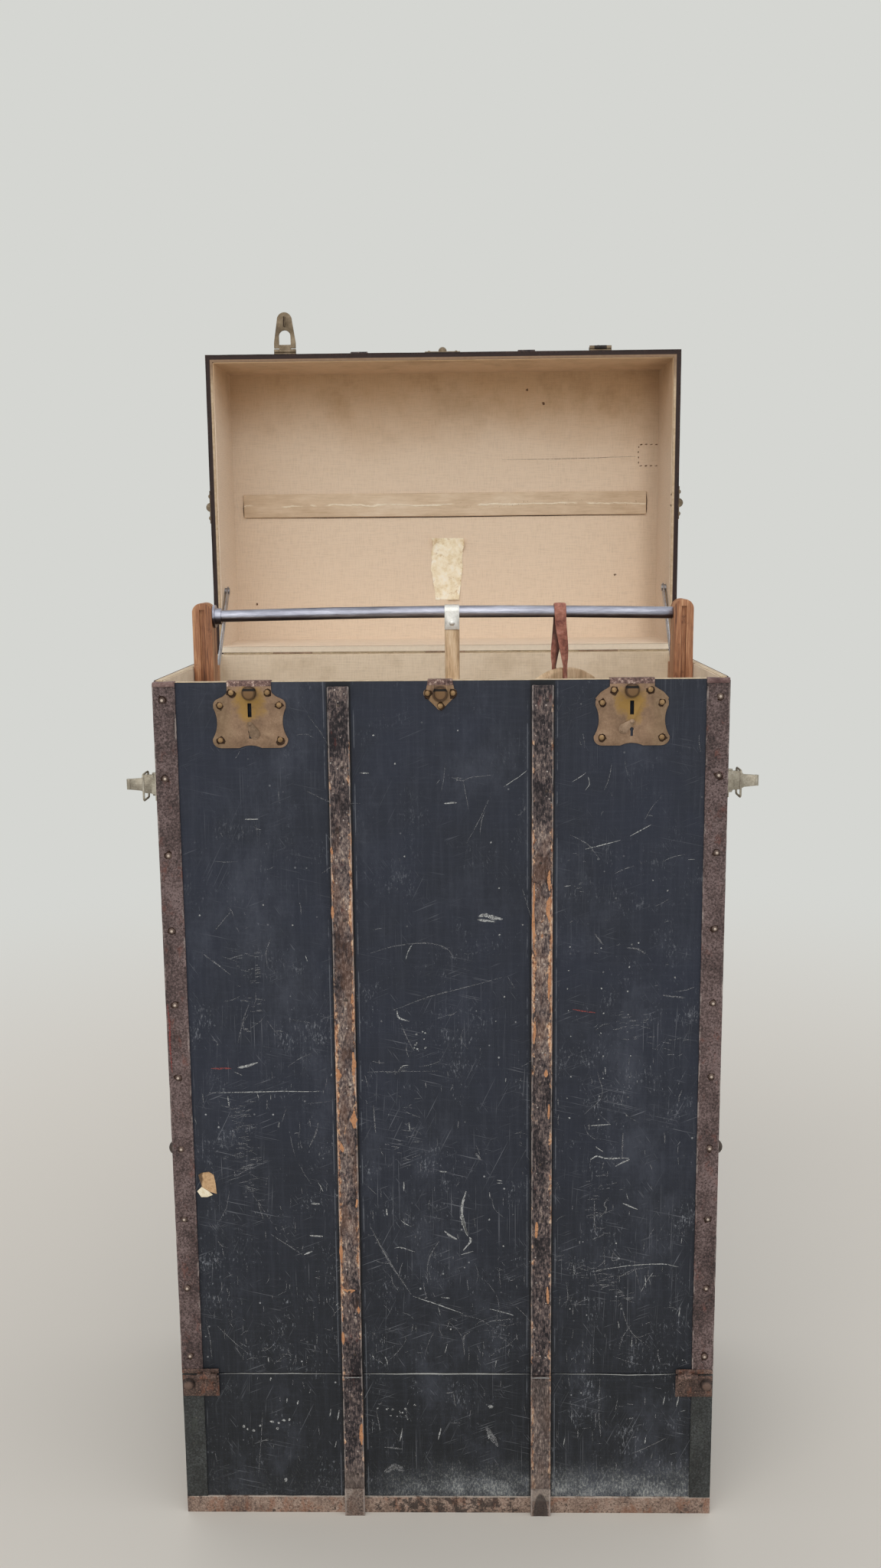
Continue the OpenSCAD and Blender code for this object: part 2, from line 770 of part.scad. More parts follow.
// Binding round the lid's rim, its outer edges and its corners
module lid_binding() {
    w = rim_band_h;
    rim_top = lid_z0 + w;
    top = lid_z1 + edge_t;
    color("#2b2624") lid_open() {
        span([-bind_x, -bind_y, lid_z0], [bind_x, -face_y, rim_top]);
        both() {
            span([-bind_x, -face_y, lid_z0], [-face_x, face_y, rim_top]);
            span([-bind_x, -face_y, lid_z1 - w], [-face_x, face_y, top]);
            span([-face_x, -bind_y + w, lid_z1], [-bind_x + w, bind_y - w, top]);
            for (s = [-1, 1]) {
                y0 = s > 0 ? face_y : -bind_y;
                z0 = s > 0 ? lid_z0 : rim_top;
                span([-bind_x, y0, z0], [-bind_x + w, y0 + edge_t, lid_z1 - w]);
            }
        }
        for (s = [-1, 1]) {
            y0 = s > 0 ? face_y : -bind_y;
            y1 = s > 0 ? bind_y - w : -bind_y;
            span([-bind_x, y0, lid_z1 - w], [bind_x, y0 + edge_t, top]);
            span([-face_x, y1, lid_z1], [face_x, y1 + w, top]);
        }
    }
}

// Outer slats over the lid's top, front and back
module lid_slats() {
    w = slat_w / 2;
    y1 = bind_y - rim_band_h;
    z0 = lid_z0 + 36;
    z1 = lid_z1 - rim_band_h;
    color("#3d332b") lid_open() both() {
        span([slat_x - w, -y1, lid_z1], [slat_x + w, y1, lid_z1 + slat_t]);
        span([slat_x - w, -face_y - slat_t, z0 - 18], [slat_x + w, -face_y, z1]);
        span([slat_x - w, face_y, z0], [slat_x + w, face_y + slat_t, z1]);
    }
}

// A hasp's hinge plate, with two knuckles and the pin
module hasp_mount(x) {
    knuckle = 8.7 + slide_gap;
    half = hasp_w / 2;
    translate([x, 0, 0]) {
        span([-half, -bind_y - 1.5, lid_z0 + 1], [half, -bind_y, lid_z0 + 14]);
        for (s = [-1, 1]) {
            x0 = s > 0 ? knuckle : -half;
            bar_x(x0, x0 + half - knuckle, hasp_y, hasp_z, hasp_r);
            front_dome(s * 11, -bind_y - 1.5, lid_z0 + 11, 2, 1.4);
        }
        bar_x(-half, half, hasp_y, hasp_z, hasp_pin_r);
    }
}

// Hasp hinges, the centre locating dome and the side dome catches
module lid_fittings() {
    plate_y = -bind_y - 1.2;
    mid_z = lid_z0 + 8;
    color("#8d8672") lid_open() {
        hasp_mount(-lock_x);
        hasp_mount(lock_x);
        span([-26, plate_y, lid_z0 + 1.5], [26, -bind_y, lid_z0 + 14.5]);
        front_dome(0, plate_y, mid_z, 6, 7);
        for (s = [-1, 1]) front_dome(s * 20, plate_y, mid_z, 2.6, 2);
        both() {
            span([-bind_x - 1.2, -24, lid_z0 + 1], [-bind_x, 24, lid_z0 + 15]);
            left_dome(-bind_x - 1.2, 0, mid_z, 6.8, 6.5);
            for (y = [-16, 16]) left_dome(-bind_x - 1.2, y, mid_z, 3.6, 3);
        }
    }
}

// A hasp hanging from its pivot at the origin, with window, knuckle and tongue
module hasp() {
    half = hasp_w / 2;
    tip_r = 11;
    knuckle = 8.7;
    z1 = -hasp_r - 0.9;
    color("#b0aa98") difference() {
        union() {
            translate([0, hasp_t / 2, 0]) rotate([90, 0, 0]) linear_extrude(hasp_t)
                difference() {
                    union() {
                        polygon([[-half, z1], [half, z1], [half, -12], [tip_r, -hasp_l + tip_r],
                                 [-tip_r, -hasp_l + tip_r], [-half, -12]]);
                        translate([0, -hasp_l + tip_r]) circle(tip_r);
                        translate([-knuckle, z1 - 1]) square([2 * knuckle, 1 - z1]);
                    }
                    translate([-8.5, -21]) square([17, 12]);
                    translate([0, -21]) circle(8.5);
                }
            bar_x(-knuckle, knuckle, 0, 0, hasp_r);
            span([-1.4, 0, -48.5], [1.4, hasp_t / 2 + 7, -34.5]);
        }
        bar_x(-half, half, 0, 0, hasp_pin_r + run_gap);
    }
}

module hasp_left() {
    lid_open() translate([-lock_x, hasp_y, hasp_z]) rotate([-90, 0, 0]) hasp();
}

module hasp_right() {
    lid_open() translate([lock_x, hasp_y, hasp_z]) rotate([-180, 0, 0]) hasp();
}

// Rail and hangers

// Steel tube that bows up a little, with straight ends and a flange at the left arm
module rail() {
    x = -arm_in;
    color("#8f9296") {
        translate([0, 0, rail_mid_z - bow_r]) rotate([90, 0, 0]) rotate([0, 0, 90 - bow_a / 2])
            rotate_extrude(angle = bow_a, $fn = 3600) translate([bow_r, 0]) circle(rail_r, $fn = 48);
        both() bar_x(x - 18, x + 6, 0, rail_z, rail_end_r);
        bar_x(x, x + 3, 0, rail_z, 15.5);
        bar_x(x + 3, x + 11, 0, rail_z, rail_r + 3);
    }
}

// Wooden arm with a round head, a groove front and back, and the rail's socket
module arm() {
    mid = -(arm_in + arm_w / 2);
    head_z = rail_z + 18.5 - arm_w / 2;
    y = arm_d / 2;
    color("#94593a") difference() {
        union() {
            span([-arm_out, -y, arm_z0], [-arm_in, y, head_z]);
            translate([mid, y, head_z]) rotate([90, 0, 0]) cylinder(h = arm_d, r = arm_w / 2);
        }
        for (s = [-1, 1]) {
            y0 = s > 0 ? y - groove_d : -y - 1;
            span([mid - groove_w / 2, y0, arm_z0 - 1],
                 [mid + groove_w / 2, y0 + groove_d + 1, head_z + 4]);
        }
        bar_x(-arm_in - 18.5, -arm_in + 1, 0, rail_z, rail_end_r + run_gap);
    }
}

module arm_left() { arm(); }

module arm_right() { mirror([1, 0, 0]) arm(); }

// The shape of a sloping wooden hanger along Y, its crest at the origin
module hanger_arch(thick) {
    drop = 42;
    deep = 24;
    r = (hanger_half * hanger_half + drop * drop) / (2 * drop);
    translate([-thick / 2, 0, 0]) rotate([90, 0, 90]) linear_extrude(thick) intersection() {
        translate([0, -r]) difference() {
            circle(r, $fn = 360);
            circle(r - deep, $fn = 360);
        }
        translate([-hanger_half, -drop - deep]) square([2 * hanger_half, drop + deep]);
    }
}

// Height of the rail's axis at a place along it
function rail_at(x) = rail_mid_z - bow_r + sqrt(bow_r * bow_r - x * x);

clip_in = rail_r + loop_gap;

// A leaf bent round the rail, its two legs hanging down to a length
module rail_loop(thick, wide, leg) {
    rotate([90, 0, 90]) translate([0, 0, -wide / 2]) linear_extrude(wide) difference() {
        union() {
            circle(clip_in + thick);
            translate([-clip_in - thick, -leg]) square([2 * (clip_in + thick), leg]);
        }
        circle(clip_in);
        translate([-clip_in, -leg - 1]) square([2 * clip_in, leg + 1]);
    }
}

module hanger_clip() {
    color("#dcdcd6") translate([clip_x, 0, rail_at(clip_x)]) {
        rail_loop(clip_t, clip_w, 24);
        for (s = [0, 180]) rotate([0, 0, s]) front_dome(0, -clip_in - clip_t, -15, 4, 2);
    }
}

module clip_hanger() {
    neck = 92;
    color("#d0b487") translate([clip_x, 0, rail_at(clip_x)]) {
        span([-clip_w / 2, -clip_in, -neck - 12], [clip_w / 2, clip_in, -clip_in - 0.7]);
        translate([0, 0, -neck]) hanger_arch(clip_w);
    }
}

// Leather loop over the rail, then a second pair of strands beside the hanger
module strap() {
    leg = 44;
    side = strap_hanger_t / 2;
    color("#7d4236") translate([strap_x, 0, rail_at(strap_x)]) {
        rail_loop(strap_t, strap_w, leg);
        span([-strap_w / 2, -clip_in - strap_t, -leg - strap_t],
             [strap_w / 2, clip_in + strap_t, -leg]);
        rotate([0, 0, strap_turn]) {
            for (x = [-side - strap_t, side])
                span([x, -strap_w / 2, -leg - 50], [x + strap_t, strap_w / 2, -leg - 1]);
            span([-side - strap_t, -strap_w / 2, -leg - 4],
                 [side + strap_t, strap_w / 2, -leg - 1]);
        }
    }
}

module strap_hanger() {
    color("#d0b487") translate([strap_x, 0, rail_at(strap_x) - 77]) rotate([0, 0, strap_turn])
        hanger_arch(strap_hanger_t);
}

base_board();
left_side();
right_side();
back_panel();
lower_front();
box_lining();
base_binding();
corner_strips();
side_edging();
lower_slats();
outer_slats();
seam_hinge_leaves();
lid_hinge_box_leaves();
handle_straps();
handle_fittings();
side_studs();
latch_bases();
arm_guides();
stay_box_pins();
door_panel();
door_lining();
door_slats();
door_strips();
door_rivets();
lock_plate_left();
lock_plate_right();
lock_cases();
centre_catch();
door_keepers();
door_hinge_leaves();
keyhole_cover_left();
keyhole_cover_right();
lid_top();
lid_front();
lid_back();
lid_left();
lid_right();
lid_lining();
lid_inner_slat();
lid_label();
lid_binding();
lid_slats();
lid_fittings();
lid_hinge_leaves();
stay_lid_pins();
hasp_left();
hasp_right();
latch_lever_left();
latch_lever_right();
latch_loop_left();
latch_loop_right();
rail();
arm_left();
arm_right();
hanger_clip();
clip_hanger();
strap();
strap_hanger();
stay_left();
stay_right();
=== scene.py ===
# %% [markdown]
# # An upright cabin trunk
# The trunk stands on its end. Its tray lid is open behind it, a steel rail with two hangers rides
# in wooden arms, and a door drops from the front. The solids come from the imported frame. This
# notebook gives every one of them its worn finish, and adds what is too fine or too soft to be cut
# as a solid: leather, paper, nails, a strip of canvas and the marks of a hundred years.

import json
import math
import random
from math import cos, pi, radians, sin

import bmesh
import bpy
from mathutils import Matrix, Vector, noise


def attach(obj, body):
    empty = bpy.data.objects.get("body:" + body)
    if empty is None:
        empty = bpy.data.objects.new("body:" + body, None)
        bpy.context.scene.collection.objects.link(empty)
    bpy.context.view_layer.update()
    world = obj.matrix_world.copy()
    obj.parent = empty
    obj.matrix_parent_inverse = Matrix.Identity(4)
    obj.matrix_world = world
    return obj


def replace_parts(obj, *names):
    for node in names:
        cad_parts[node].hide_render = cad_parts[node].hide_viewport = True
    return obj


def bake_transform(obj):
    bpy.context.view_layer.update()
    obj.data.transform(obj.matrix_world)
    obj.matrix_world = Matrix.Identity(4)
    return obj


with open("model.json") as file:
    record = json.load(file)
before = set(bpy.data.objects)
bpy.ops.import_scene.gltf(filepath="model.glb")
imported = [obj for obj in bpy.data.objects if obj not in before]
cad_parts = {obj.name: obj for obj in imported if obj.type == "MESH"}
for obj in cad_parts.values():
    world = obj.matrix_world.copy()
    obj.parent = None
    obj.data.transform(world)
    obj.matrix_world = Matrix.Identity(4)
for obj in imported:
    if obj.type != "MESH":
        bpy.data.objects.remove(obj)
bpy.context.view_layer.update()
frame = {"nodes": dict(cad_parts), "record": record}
nodes = frame["nodes"]

# %% [markdown]
# ## Shader maths as sums
# A worn finish is mostly arithmetic: this much rust where the noise is high and the edge is near.
# Wiring that by hand hides the idea, so a small class wraps a socket and lets Python's own signs
# add the Math nodes. Everything else comes from one method that sets a node up and links it.


# %% A socket that can be added and multiplied
class Level:
    """A number that varies over a surface: an output socket in one material."""

    def __init__(self, paint, socket):
        self.paint, self.socket = paint, socket

    def maths(self, operation, first, second):
        return self.paint.add("ShaderNodeMath", {"operation": operation}, {0: first, 1: second})

    def __add__(self, other):
        return self.maths("ADD", self, other)

    def __sub__(self, other):
        return self.maths("SUBTRACT", self, other)

    def __rsub__(self, other):
        return self.maths("SUBTRACT", other, self)

    def __mul__(self, other):
        return self.maths("MULTIPLY", self, other)

    def __abs__(self):
        return self.maths("ABSOLUTE", self, 0.0)

    def peak(self, other):
        return self.maths("MAXIMUM", self, other)

    def wave(self, turns):
        """A sine of this value, with so many full waves to the metre."""
        return self.maths("SINE", self * (turns * 2 * pi), 0.0)

    def root(self):
        return self.maths("SQRT", self, 0.0)

    __radd__, __rmul__ = __add__, __mul__


print("sockets add up now")


# %% [markdown]
# ## One method for every other node
# The order matters: a node's settings, such as its operation or its ramp stops, decide which
# sockets it has, so they are set first and the values and links come after.


# %% A material being mixed
def rgb(code):
    """A colour written as on screen, turned into the linear light that shaders use."""
    parts = [int(code[i : i + 2], 16) / 255 for i in (1, 3, 5)]
    return [c / 12.92 if c <= 0.04045 else ((c + 0.055) / 1.055) ** 2.4 for c in parts] + [1.0]


class Paint:
    """One material, with its Principled shader and its Object coordinates."""

    def __init__(self, name, **shader):
        self.material = bpy.data.materials.new(name)
        self.material.use_nodes = True
        self.tree = self.material.node_tree
        self.shader = self.tree.nodes["Principled BSDF"]
        for socket, value in shader.items():
            self.shader.inputs[socket.replace("_", " ")].default_value = value
        self.place = self.add("ShaderNodeTexCoord", out="Object")
        self.x, self.y, self.z = [
            self.add("ShaderNodeSeparateXYZ", {}, {0: self.place}, out=i) for i in range(3)
        ]

    def add(self, kind, settings={}, inputs={}, out=0):
        node = self.tree.nodes.new(kind)
        for key, value in settings.items():
            if key == "stops":
                ramp = node.color_ramp.elements
                while len(ramp) < len(value):
                    ramp.new(0.5)
                for stop, (where, colour) in zip(ramp, value):
                    stop.position, stop.color = where, rgb(colour)
            else:
                setattr(node, key, value)
        for key, value in inputs.items():
            if isinstance(value, Level):
                self.tree.links.new(value.socket, node.inputs[key])
            else:
                node.inputs[key].default_value = value
        return Level(self, node.outputs[out])

    def spot(self, size, stretch, shift, turn):
        """Object coordinates measured in blotches, drawn out by stretch and turned about Y."""
        inputs = {
            0: self.place,
            "Location": [shift] * 3,
            "Rotation": (0, turn, 0),
            "Scale": [size * s for s in stretch],
        }
        return self.add("ShaderNodeMapping", {"vector_type": "TEXTURE"}, inputs)

    def cloud(self, size, detail=4.0, rough=0.55, stretch=(1, 1, 1), shift=0.0, turn=0.0):
        """Noise whose blotches are about size metres across, longer where stretch is over 1."""
        place = self.spot(size, stretch, shift, turn)
        values = {"Vector": place, "Scale": 1.0, "Detail": detail, "Roughness": rough}
        return self.add("ShaderNodeTexNoise", {}, values)

    def step(self, value, low, high):
        """0 below low, 1 above high, and a smooth rise between. Low may be the larger."""
        settings = {"interpolation_type": "SMOOTHSTEP"}
        return self.add("ShaderNodeMapRange", settings, {0: value, 1: low, 2: high})

    def over(self, mask, under, top):
        """A colour over another one where the mask is 1."""
        under, top = [rgb(c) if isinstance(c, str) else c for c in (under, top)]
        return self.add("ShaderNodeMix", {"data_type": "RGBA"}, {0: mask, 6: under, 7: top}, out=2)

    def ramp(self, value, *stops):
        return self.add("ShaderNodeValToRGB", {"stops": stops}, {0: value})

    def cells(self, size, feature="DISTANCE_TO_EDGE", wobble=0.0, shift=0.0):
        """Voronoi cells about size metres across, with their walls bent by a noise."""
        place = self.spot(size, (1, 1, 1), shift, 0.0)
        if wobble:
            bend = self.add("ShaderNodeTexNoise", {}, {"Vector": place, "Scale": 1.3}, out=1)
            bend = self.add("ShaderNodeVectorMath", {"operation": "SCALE"}, {0: bend, 3: wobble})
            place = self.add("ShaderNodeVectorMath", {"operation": "ADD"}, {0: place, 1: bend})
        return self.add("ShaderNodeTexVoronoi", {"feature": feature}, {"Vector": place, "Scale": 1})

    def scratches(self, turn, length, width, share=0.66, shift=0.0):
        """Thin straight dashes at a slant: the peaks of a noise drawn out in one direction."""
        streak = self.cloud(width, 1.0, 0.5, (1, 1, length / width), shift, turn)
        kept = self.cloud(length, 3.0, 0.6, shift=shift + 3.7)
        return self.step(streak, share, share + 0.1) * self.step(kept, 0.5, 0.64)

    def finish(self, colour, rough=None, bump=None, depth=0.0003, **more):
        """Links what was mixed to the shader and hands the material over."""
        links = {"Base Color": colour, "Roughness": rough}
        links.update({socket.replace("_", " "): value for socket, value in more.items()})
        if bump:
            links["Normal"] = self.add("ShaderNodeBump", {}, {"Height": bump, "Distance": depth})
        for key, value in links.items():
            if value:
                self.tree.links.new(value.socket, self.shader.inputs[key])
        return self.material


print("paint mixer ready")

# %% [markdown]
# ## Painted canvas
# The boards are covered with canvas and painted blue-black. Close to, it has a fine weave; from a
# step away it shows upright streaks, broad dull scuffs, a chalky haze near the floor and faint
# dashes in all directions. The boards' own edges are bare: they show round the lid's mouth and
# along the top of the box, so the same material turns to pale wood past a plane.

# %% Mix the canvas
BOX_RIM, LID_RIM, LID_BLACK, LID_TOP_BLACK = 1.1178, 0.2208, 0.3436, 1.5536
SLAT_X, SLAT_HALF, SIDE_SLAT_Y, SIDE_X = 0.124, 0.013, 0.11, 0.348
CANVAS_THREADS, LINEN_THREADS = 900, 620


def bare_edges(p, colour, lid):
    """The boards' own wood where the canvas ends: over a height on the box, past a plane on the lid."""
    wood = p.ramp(p.cloud(0.006, 6.0, 0.7), (0.35, "#bda788"), (0.65, "#e2cfb1"))
    if lid:
        # On the lid the wood below a height is painted much lighter, as painted light on the lowest band
        # of the rim; above it the wood is browner, and it darkens towards the far end.
        painted_lit_wood, browner_wood = p.over(0.75, wood, "#fff3e0"), p.over(0.35, wood, "#b28c68")
        wood = p.over(p.step(p.z, 1.136, 1.15), painted_lit_wood, browner_wood)
        wood = p.over(p.step(p.z, 1.5, 1.548) * 0.75, wood, "#7d5d44")
        edge = p.step(p.y, LID_RIM, LID_RIM - 0.0004)
        colour = p.over(edge * 0.9, colour, "#2f1d18")
        rim = edge * p.step(abs(p.x), LID_BLACK, LID_BLACK - 0.0008)
        rim = rim * p.step(p.z, LID_TOP_BLACK, LID_TOP_BLACK - 0.0008)
    else:
        rim = p.step(p.z, BOX_RIM, BOX_RIM + 0.0004)
    return p.over(rim * 0.93, colour, wood)


def mix_canvas(name, top="#242937", low="#15181c", lid=False):
    """Painted canvas: streaks, scuffs and dashes, with a chalky haze low down on the right."""
    p = Paint(name, Specular_IOR_Level=0.35)
    mottle = p.step(p.cloud(0.13, 5.0, 0.6), 0.3, 0.72)
    streaks = p.step(p.cloud(0.005, 4.0, 0.65, (1, 1, 16)), 0.4, 0.75)
    colour = p.over(p.step(p.z, 0.0, 0.75), low, top)
    colour = p.over(mottle * 0.45, colour, "#1c1f25")
    colour = p.over(streaks * 0.13, colour, "#484c59")
    threads = p.step(p.cloud(0.003, 4.0, 0.65, (14, 14, 1), 44.0), 0.45, 0.75)
    colour = p.over(threads * 0.1, colour, "#4b4f5b")
    scuffs = p.step(p.cloud(0.11, 9.0, 0.74, (1, 1, 1.7), 5.0), 0.5, 0.72)
    colour = p.over(scuffs * 0.34, colour, "#575b66")
    dashes = p.scratches(0.45, 0.09, 0.0016, shift=1.0)
    for i, turn in enumerate((-0.6, 1.2, -1.35, 0.05, 0.0)):
        dashes = dashes.peak(p.scratches(turn, 0.03 + 0.02 * i, 0.0012, 0.66, 4.0 * i + 2))
    busy = p.step(p.z, 1.0, 0.5) * 0.7 + 0.3
    colour = p.over(dashes * busy * 0.28, colour, "#a6a9b0")
    flecks = p.cloud(0.0026, 8.0, 0.8, (1, 1, 2.6), 2.2)
    dust = p.cloud(0.05, 5.0, 0.65, shift=7.0) * 0.5
    colour = p.over(p.step(flecks + dust, 0.85, 0.96) * busy * 0.6, colour, "#92969d")
    low_down = p.step(p.z, 0.1, 0.024) * (p.step(p.x, -0.14, 0.0) * 0.7 + 0.3)
    drift = p.step(p.cloud(0.03, 5.0, 0.7, shift=33.0), 0.32, 0.66)
    haze = low_down * (drift * 0.5 + 0.5)
    colour = p.over(haze * haze * 0.48, colour, "#7d838a")
    chalk = p.step(p.cloud(0.0026, 9.0, 0.8, (1, 1, 2), 12.0) + haze * 0.12, 0.54, 0.72)
    colour = p.over(chalk * haze * 0.8, colour, "#b3b5b0")
    specks = p.step(p.cells(0.019, "F1", shift=4.0), 0.085, 0.045)
    specks = specks * p.step(p.cloud(0.1, 3.0, shift=8.0), 0.5, 0.62)
    colour = p.over(specks * busy * 0.7, colour, "#b4b6b8")
    # Painted shadow: the canvas is made dark in a narrow band beside each edge of the front slats.
    beside = abs(abs(p.x) - SLAT_X) - SLAT_HALF
    colour = p.over(p.step(beside, 0.0032, 0.0012) * 0.7, colour, "#0f1013")
    line = p.step(abs(beside - 0.0052), 0.0009, 0.0003) * p.step(dust, 0.22, 0.27)
    colour = p.over(line * 0.4, colour, "#7d828a")
    colour = bare_edges(p, colour, lid)
    weave = p.x.wave(CANVAS_THREADS) + p.y.wave(CANVAS_THREADS) + p.z.wave(CANVAS_THREADS)
    rough = 0.62 + scuffs * 0.15 - streaks * 0.06
    return p.finish(colour, rough, weave * 0.1 + mottle + chalk * 0.5, 0.0004)


canvas = mix_canvas("canvas")
lid_canvas = mix_canvas("lid canvas", "#202229", lid=True)
print("canvas has", len(canvas.node_tree.nodes), "nodes")

# %% [markdown]
# ## Slats
# The slats are ash, stained nearly black. Hands, ropes and other trunks have rubbed the stain off
# their edges, where the bare orange wood shows. The distance to a slat's middle line is plain
# arithmetic on the Object coordinates, because all front slats stand at the same distance from the
# centre, so one material can wear each of them along its own two edges. The slats of the side walls
# are measured from their own middle lines, and the lid's slats only have their grain turned.


# %% Mix the slat wood
def mix_slat(name, stretch=(1, 1, 9)):
    """Stained ash, worn along both edges. The right slat is scuffed pale near the floor."""
    p = Paint(name, Specular_IOR_Level=0.35)
    front, right = p.step(p.y, -0.2, -0.21), p.step(p.x, -0.05, 0.05)
    grain = p.cloud(0.0011, 4.0, 0.7, stretch)
    patch = p.cloud(0.0034, 7.0, 0.76, (1, 1, 1.7), 6.0)
    zone = p.cloud(0.024, 5.0, 0.68, (1, 1, 2.4), 51.0)
    fresh = p.step(p.z, 1.02, 1.09) * front
    start = right * 0.3 + 0.24
    sunned = p.step(p.z, start, start + 0.1) * p.step(p.z, 1.0, 0.88)
    sunned = sunned + p.step(p.z, 0.21, 0.2) * right * 0.7
    tone = grain * 0.28 + patch * 0.42 + zone * 0.3 - fresh * 0.012 + sunned * 0.02 - 0.032
    stained = [(0.425, "#1c181c"), (0.465, "#423a3b"), (0.502, "#665855")]
    colour = p.ramp(tone, *stained, (0.54, "#87786f"), (0.59, "#b8a89b"))
    tanned = p.step(p.cloud(0.03, 4.0, 0.66, (1, 1, 3), 71.0), 0.46, 0.62) * sunned
    colour = p.over(tanned * 0.25, colour, "#8a6248")
    at_side = p.step(abs(p.x), SIDE_X - 0.0005, SIDE_X + 0.0005)
    side = abs(abs(p.x) - SLAT_X) * (1 - at_side) + abs(abs(p.y) - SIDE_SLAT_Y) * at_side
    edge = p.step(side, SLAT_HALF * 0.4, SLAT_HALF)
    worn = p.cloud(0.008, 8.0, 0.78, (1, 1, 2), 11.0) * 0.45 + zone * 0.35 + patch * 0.2
    worn = worn + edge * 0.1 + sunned * 0.035 - fresh * 0.05
    bare = p.step(worn, 0.606, 0.636)
    ash = [(0.42, "#7a4a31"), (0.48, "#ad7450"), (0.53, "#cfa27c"), (0.59, "#ead0b2")]
    colour = p.over(bare * 0.85, colour, p.ramp(grain * 0.5 + patch * 0.5, *ash))
    # A pale line along both edges of each slat: partly worn stain, partly a painted highlight where the
    # edge catches light.
    rim = p.step(side, SLAT_HALF * 0.84, SLAT_HALF * 0.95)
    rim = rim * p.step(p.cloud(0.006, 7.0, 0.75, (1, 1, 4), 61.0), 0.42, 0.52)
    colour = p.over(rim * 0.6, colour, "#aea39d")
    stain = p.step(p.cloud(0.007, 8.0, 0.78, (2, 1, 1.2), 21.0), 0.58, 0.66)
    colour = p.over(stain * 0.75, colour, "#1b181b")
    red = p.step(p.cloud(0.012, 6.0, 0.72, (1, 1, 2.4), 41.0), 0.6, 0.7)
    colour = p.over(red * 0.3, colour, "#7d3f35")
    specks = p.step(p.cells(0.009, "F1", shift=9.0), 0.14, 0.07) * p.step(zone, 0.4, 0.55)
    colour = p.over(specks * 0.7, colour, "#cdc3b9")
    scuffed = p.step(p.z, 0.21, 0.19) * right * 0.4
    scuffed = scuffed.peak(p.step(p.z, 0.085, 0.05) * 0.7) * front
    dull = p.ramp(grain * 0.4 + patch * 0.6, (0.38, "#473d39"), (0.5, "#6b5e57"), (0.64, "#94867d"))
    colour = p.over(scuffed, colour, dull)
    return p.finish(colour, 0.66 + grain * 0.2, grain - stain * 0.6 - bare * 0.4, 0.0005)


slat_wood = mix_slat("slat wood")
lid_slat_wood = mix_slat("lid slat wood", (1, 9, 9))
print("slat wood mixed")

# %% [markdown]
# ## Pressed edge strips
# The strips over the corners are thin pressed iron with a brown enamel that has gone dull and
# pitted. Rust comes through as small speckles. The lower corners kept a black coat, and the band
# round the foot lost most of its own to the floor. The leaves of the door's hinge share the finish,
# with a ring of painted shade round each of their bolts.


# %% Mix the strips
STRIP_X, STRIP_HALF, FOOT_TOP = 0.336, 0.014, 0.024
ARCH_HIGH, ARCH_HALF = 0.034, 0.0098
STUD_R, PIN_HEAD_R = 0.0074, 0.0021
LEAF_BOLTS = [
    (0.341, 0.1895, STUD_R),
    (0.327, 0.1785, PIN_HEAD_R),
    (0.307, 0.1785, PIN_HEAD_R),
    (0.307, 0.1885, PIN_HEAD_R),
]


